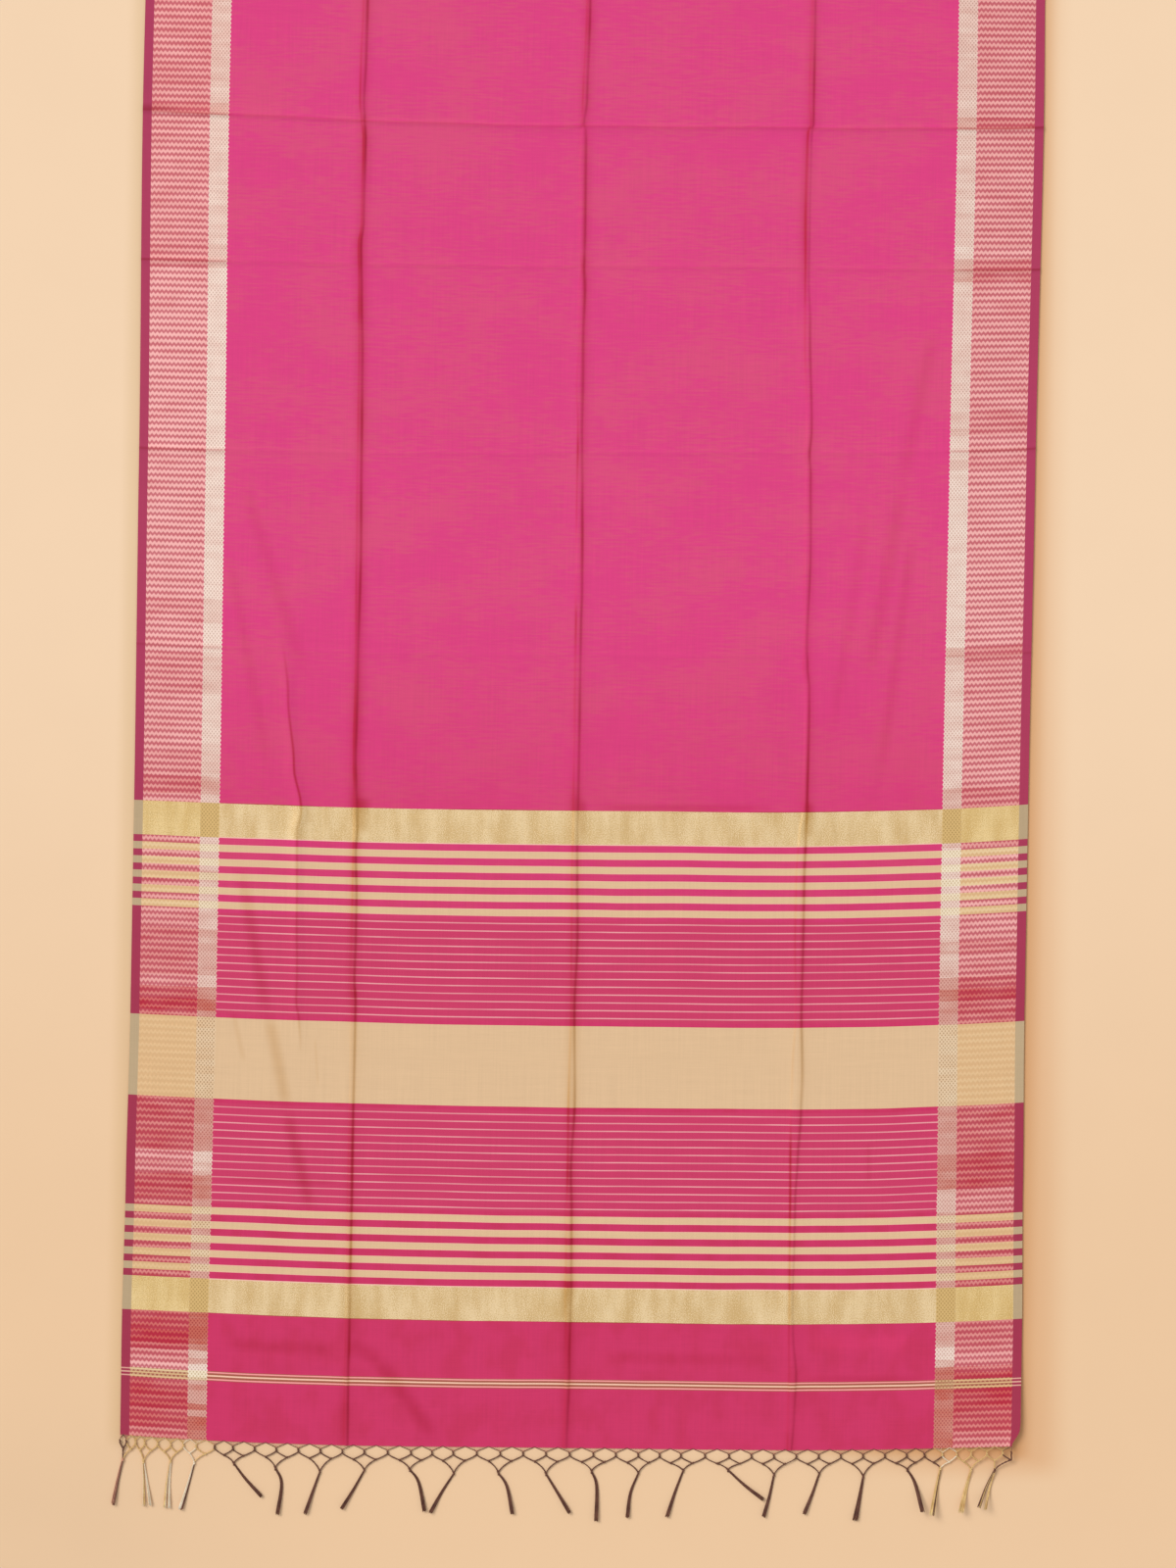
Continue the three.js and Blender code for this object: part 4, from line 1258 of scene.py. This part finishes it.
fibres.feed(fibre_out.inputs["Color"], fibres.mix(
    light_share, fibre_in.outputs["Base"], fibre_in.outputs["Light"]))
fibres.feed(fibre_out.inputs["Height"], strand_fibres)

thread_materials = [
    add_thread_material("dark_warp_thread", colour(80, 44, 36), colour(132, 88, 68), 0.0, 0.6),
    add_thread_material("silver_zari_thread", colour(224, 202, 170), colour(252, 240, 218), 0.15, 0.4),
    add_thread_material("gold_zari_thread", colour(198, 154, 90), colour(246, 218, 158), 0.15, 0.42),
    add_thread_material("fine_warp_thread", colour(176, 112, 92), colour(222, 168, 138), 0.0, 0.6),
]

# The first row has two knots for each tassel: one over it, and one shared with the next.
first_row = [-HALF_WIDTH]
for index, tassel in enumerate(TASSELS):
    over = tassel["across"] * MM
    if index + 1 < len(TASSELS):
        shared = (over + TASSELS[index + 1]["across"] * MM) / 2
    else:
        shared = HALF_WIDTH
    first_row += [over, shared]

dice = random.Random(11)
net = ThreadMesh()
knots = []  # (middle, heading, length, half width, material)

# Warp ends fan from the hem into each knot of the first row, and the outermost bound the gap.
for index, knot_across in enumerate(first_row):
    knot_top = on_floor(knot_across, FIRST_KNOT_DOWN - 2.0 * MM, STRAND_HEIGHT + 0.3 * MM)
    for neighbour in (index - 1, index + 1):
        if not 0 <= neighbour < len(first_row):
            continue
        reach = (first_row[neighbour] - knot_across) / 2
        for end in range(ENDS_PER_SIDE):
            share = (end + 0.55) / (ENDS_PER_SIDE - 0.4)
            out = reach * share
            root = on_floor(knot_across + out, -1.0 * MM, 0.6 * MM)
            mouth = on_floor(
                knot_across + out * MOUTH_REACH, MOUTH_DOWN + MOUTH_SLANT * share, 0.8 * MM)
            neck = on_floor(knot_across + out * NECK_REACH, FIRST_KNOT_DOWN - NECK_ABOVE, 0.9 * MM)
            path = bow(root, mouth, neck, knot_top, 7)
            material = thread_at(knot_across + out)
            radius = OUTER_GATHER_RADIUS
            if end < ENDS_PER_SIDE - 1:
                radius = GATHER_RADIUS * dice.uniform(0.8, 1.1)
                material = FINE_THREAD if material == DARK else material
            net.tube(path, [radius] * len(path), THREAD_SIDES, material)
    knot_middle = on_floor(knot_across, FIRST_KNOT_DOWN, FIRST_KNOT_HEIGHT)
    tilt = dice.uniform(-KNOT_TILT, KNOT_TILT)
    knots.append((knot_middle, Vector((tilt, -1, 0)), *FIRST_KNOT, thread_at(knot_across)))

# From each first-row knot a strand runs down to either side, and where two meet they are knotted.
for index, tassel in enumerate(TASSELS):
    outer_left, over, outer_right = first_row[2 * index:2 * index + 3]
    tassel_knot = tassel_stop(tassel, "knot", TASSEL_KNOT_HEIGHT)
    bend = tassel_stop(tassel, "bend", BEND_HEIGHT)
    for outer, side in ((outer_left, -1), (outer_right, 1)):
        middle = (outer + over) / 2
        material = thread_at(middle)
        knot = on_floor(middle, SECOND_KNOT_DOWN, SECOND_KNOT_HEIGHT)
        for start_across in (outer, over):
            inward = middle - start_across
            start = on_floor(start_across, FIRST_KNOT_DOWN + STRAND_LEAVES, 1.1 * MM)
            start_pull = on_floor(
                start_across + inward * 0.22, FIRST_KNOT_DOWN + STRAND_FALLS, STRAND_HEIGHT)
            end_pull = on_floor(
                middle - inward * 0.4, SECOND_KNOT_DOWN - STRAND_ARRIVES, STRAND_HEIGHT)
            path = bow(start, start_pull, end_pull, knot, 11)
            twisted(net, path, material, dice.uniform(0, 6.28))
        knots.append((knot, (tassel_knot - knot).normalized(), *SECOND_KNOT, material))
        drop = tassel_knot - knot
        start_pull = knot + Vector((drop.x * 0.42, drop.y * 0.22, 0))
        end_pull = tassel_knot + Vector((-drop.x * 0.12, -drop.y * 0.4, 0))
        twisted(net, bow(knot, start_pull, end_pull, tassel_knot, 12), material, dice.uniform(0, 6.28))
    heading = (bend - tassel_knot).normalized() + Vector((0, -1, 0))
    knots.append((tassel_knot, heading, *TASSEL_KNOT, tassel["first"]))

fringe_net = net.as_object("fringe_net", thread_materials)

# Each tassel is a loose bundle: round at its knot, flatter and wider at its cut tip.
bundles = ThreadMesh()


def add_tassel(knot, bend, tip, tip_lift, spread, first, second):
    """A loose bundle of threads from a knot over a bend to its tip, in one lock or in two."""
    half_widths = [width * spread**power for width, power in zip(TASSEL_HALF_WIDTHS, SPREAD_POWERS)]
    aheads = (bend - knot, tip - knot, tip - bend)
    for thread in range(TASSEL_THREADS):
        share = (thread + 0.5) / TASSEL_THREADS * 2 - 1
        share += dice.uniform(-1, 1) / TASSEL_THREADS
        side_material = first if share < 0 else second
        if spread > SPLIT_SPREAD:
            share = math.copysign(0.4 + 0.6 * abs(share), share)
        layer = dice.uniform(0, 1)
        overshoot = dice.uniform(*TIP_UNEVEN) * MM
        stray = dice.uniform(-THREAD_STRAY, THREAD_STRAY) * MM
        stops = []
        for place, ahead, width, (low, depth) in zip(
                (knot, bend, tip), aheads, half_widths, TASSEL_HEIGHTS):
            heading = Vector((ahead.x, ahead.y, 0)).normalized()
            aside = Vector((-heading.y, heading.x, 0))
            stop = place + aside * (share * width + stray * (width / half_widths[2]))
            stop.z = place.z + (low + depth * layer) * MM
            stops.append(stop)
        start, middle, end = stops
        end = end + heading * overshoot
        end.z += tip_lift
        over_bend = (end - start) * BEND_PULL
        path = bow(start, start + (middle - start) * END_PULL, middle - over_bend, middle, 5)
        path += bow(middle, middle + over_bend, end - (end - middle) * END_PULL, end, 6)[1:]
        radii = [TASSEL_THREAD_RADIUS * dice.uniform(*THREAD_RADII)] * len(path)
        radii[-1] *= CUT_TAPER
        mixed_in = dice.random() < MIXED_THREADS
        material = (second if side_material == first else first) if mixed_in else side_material
        bundles.tube(path, radii, THREAD_SIDES, material)


for tassel in TASSELS:
    knot, bend, tip = (tassel_stop(tassel, stop, 0.0) for stop in ("knot", "bend", "tip"))
    tip_lift = RIGHT_TIP_LIFT if tassel["across"] * MM > RIGHT_TIPS_FROM else TIP_LIFT
    add_tassel(knot, bend, tip, tip_lift, tassel["spread"], tassel["first"], tassel["second"])
fringe_tassels = bundles.as_object("fringe_tassels", thread_materials)

# A knot: two turns of strand drawn tight round the bundle, modelled once and copied.
bpy.ops.object.select_all(action="DESELECT")
bpy.ops.mesh.primitive_uv_sphere_add(segments=8, ring_count=6, radius=1)
knot_core = bpy.context.active_object
knot_core.scale = (0.62, 1.0, 0.62)
bpy.ops.object.transform_apply(scale=True)
knot_parts = [knot_core]
for place, lean in ((0.36, 0.5), (-0.3, -0.45)):
    bpy.ops.mesh.primitive_torus_add(
        major_segments=10, minor_segments=5, major_radius=0.72, minor_radius=0.3,
        location=(0, place, 0), rotation=(math.pi / 2, 0, lean))
    knot_parts.append(bpy.context.active_object)
    bpy.ops.object.transform_apply(location=True, rotation=True)
shape_points, shape_faces = [], []
for part in knot_parts:
    first = len(shape_points)
    shape_points += [Vector(vertex.co) for vertex in part.data.vertices]
    shape_faces += [tuple(first + corner for corner in face.vertices) for face in part.data.polygons]
    bpy.data.objects.remove(part)
shape_faces.sort(key=sorted)  # Blender gives a sphere's faces in another order each time

tied = ThreadMesh()
for middle, heading, length, half_width, material in knots:
    along_knot = Vector((heading.x, heading.y, 0)).normalized()
    aside = Vector((along_knot.y, -along_knot.x, 0))
    size = dice.uniform(*KNOT_SIZES)
    first = len(tied.points)
    for point in shape_points:
        tied.points.append(
            middle
            + aside * (point.x * half_width * size)
            + along_knot * (point.y * length / 2 * size)
            + Vector((0, 0, point.z * min(half_width * size, middle.z - 0.1 * MM))))
    for face in shape_faces:
        tied.faces.append(tuple(first + corner for corner in face))
        tied.maps.append([
            (shape_points[corner].y * ROUND_KNOT, shape_points[corner].x * ALONG_KNOT) for corner in face])
        tied.materials.append(material)
fringe_knots = tied.as_object("fringe_knots", thread_materials)

for piece in (fringe_net, fringe_knots, fringe_tassels):
    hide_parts("fringe")
    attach(piece, "root")


# ---- Floor ----
# A plain floor of peach paper, which isn't part of the saree. It is painted darker and warmer towards
# the hem, and holds painted shade in its near left corner, along the cloth's sides and under the raised
# end of the hem.

FLOOR_HALF = 14.0
FLOOR_LIGHT = colour(244, 212, 178)
# Painted falloff of the light: the paper goes darker and warmer towards the hem.
FLOOR_PAINTED_FALLOFF = colour(236, 199, 160)
PAINTED_RIGHT_SHADE = (0.90, 0.79, 0.70, 1.0)  # painted shade on the paper to the right of the cloth
PAINTED_LEFT_EDGE_SHADE = (0.90, 0.88, 0.81, 1.0)  # and painted shade along its left edge
PAINTED_HEM_SHADOW = (0.86, 0.74, 0.60, 1.0)  # painted shadow under the raised right end of the hem
# Painted shade in the paper's near left corner.
PAINTED_CORNER_SHADE = (0.955, 0.965, 0.975, 1.0)
RIGHT_SHADE_SLANT = 0.0177  # the painted right shade comes nearer to the middle by this much for each metre
bpy.ops.object.select_all(action="DESELECT")
bpy.ops.mesh.primitive_plane_add(size=FLOOR_HALF * 2, location=(0, 0, 0))
floor = bpy.context.active_object
floor.name = "floor"
floor_material, paper = new_material("floor_paper")
paper_place = paper.add("ShaderNodeTexCoord")
floor_x, floor_y = paper.first_two(paper_place.outputs["Object"])
paper_across = paper.math("SUBTRACT", floor_x, MIDDLE_X)
paper_from_hem = paper.math("SUBTRACT", floor_y, HEM_Y)
right_shade_place = paper.math("MULTIPLY_ADD", paper_from_hem, RIGHT_SHADE_SLANT, paper_across)

# Each painted shade of the paper, and the fades that bound it, in metres across and from the hem.
painted_paper_shades = (
    (PAINTED_RIGHT_SHADE, ((right_shade_place, 0.65, 0.596), (paper_across, 0.3, 0.5),
                   (paper_from_hem, -0.05, -0.01), (paper_from_hem, 2.3, 2.1))),
    (PAINTED_LEFT_EDGE_SHADE, ((paper_across, -0.602, -0.579), (paper_across, -0.3, -0.5),
                  (paper_from_hem, -0.03, 0.0), (paper_from_hem, 2.3, 2.1))),
    (PAINTED_HEM_SHADOW, ((paper_from_hem, -0.022, -0.004), (paper_across, 0.2, 0.42),
                 (paper_across, 0.6, 0.57))),
    (PAINTED_CORNER_SHADE, ((paper_from_hem, 0.1, -0.1), (paper_across, -0.25, -0.65))),
)
paper_tone = paper.mix(paper.fade(floor_y, 0.1, -1.0), FLOOR_LIGHT, FLOOR_PAINTED_FALLOFF)
for shade, bounds in painted_paper_shades:
    share = 1.0
    for bound in bounds:
        share = paper.both(share, paper.fade(*bound))
    paper_tone = paper.mix(share, paper_tone, paper.mix(1.0, paper_tone, shade, "MULTIPLY"))
mottle = paper.noise(floor_x, floor_y, 9.0, 9.0, detail=3.0)
paper.surface({
    "Base Color": paper.scaled(paper_tone, paper.math("MULTIPLY_ADD", mottle, 0.03, 0.985)),
    "Roughness": 0.9,
    "Specular IOR Level": 0.1,
})
floor.data.materials.append(floor_material)


# ---- Light ----
# One soft studio light, far off above the far end and to the left, and an even pale room round it,
# so that the folds and the fringe have soft shades towards the hem and the right.

ROOM_STRENGTH = 0.59
KEY_FROM = Vector((-1.5, 1.3, 1.9))  # the way to the light
KEY_SPREAD = math.radians(30)  # how wide it looks from the floor
KEY_STRENGTH = 1.88
room = bpy.data.worlds.new("room")
bpy.context.scene.world = room
room.use_nodes = True
background = room.node_tree.nodes["Background"]
background.inputs["Color"].default_value = (1.0, 1.0, 1.0, 1.0)
background.inputs["Strength"].default_value = ROOM_STRENGTH
key_data = bpy.data.lights.new("key", "SUN")
key_data.angle = KEY_SPREAD
key_data.energy = KEY_STRENGTH
key = add_object("key", key_data)
key.location = KEY_FROM
key.rotation_mode = "QUATERNION"
key.rotation_quaternion = KEY_FROM.to_track_quat("Z", "Y")


# ---- Camera ----
# Straight above the cloth, from high up with a long lens, and turned about one degree. The folded
# rest is just out of view.

CAMERA_HEIGHT = 4.0
VIEW_LENGTH = 2.013  # of the floor that the frame's long side takes in
VIEW_ACROSS = 8.4 * MM  # the frame's middle, across the cloth and from the hem
VIEW_FROM_HEM = 841.9 * MM
VIEW_TURN = math.radians(1.014)
SENSOR = 36.0
camera_data = bpy.data.cameras.new("camera")
camera_data.sensor_width = SENSOR
camera_data.lens = SENSOR * CAMERA_HEIGHT / VIEW_LENGTH
camera = add_object("camera", camera_data)
camera.location = (MIDDLE_X + VIEW_ACROSS, HEM_Y + VIEW_FROM_HEM, CAMERA_HEIGHT)
camera.rotation_euler = (0, 0, VIEW_TURN)
bpy.context.scene.camera = camera
bpy.context.scene.view_settings.view_transform = "Standard"
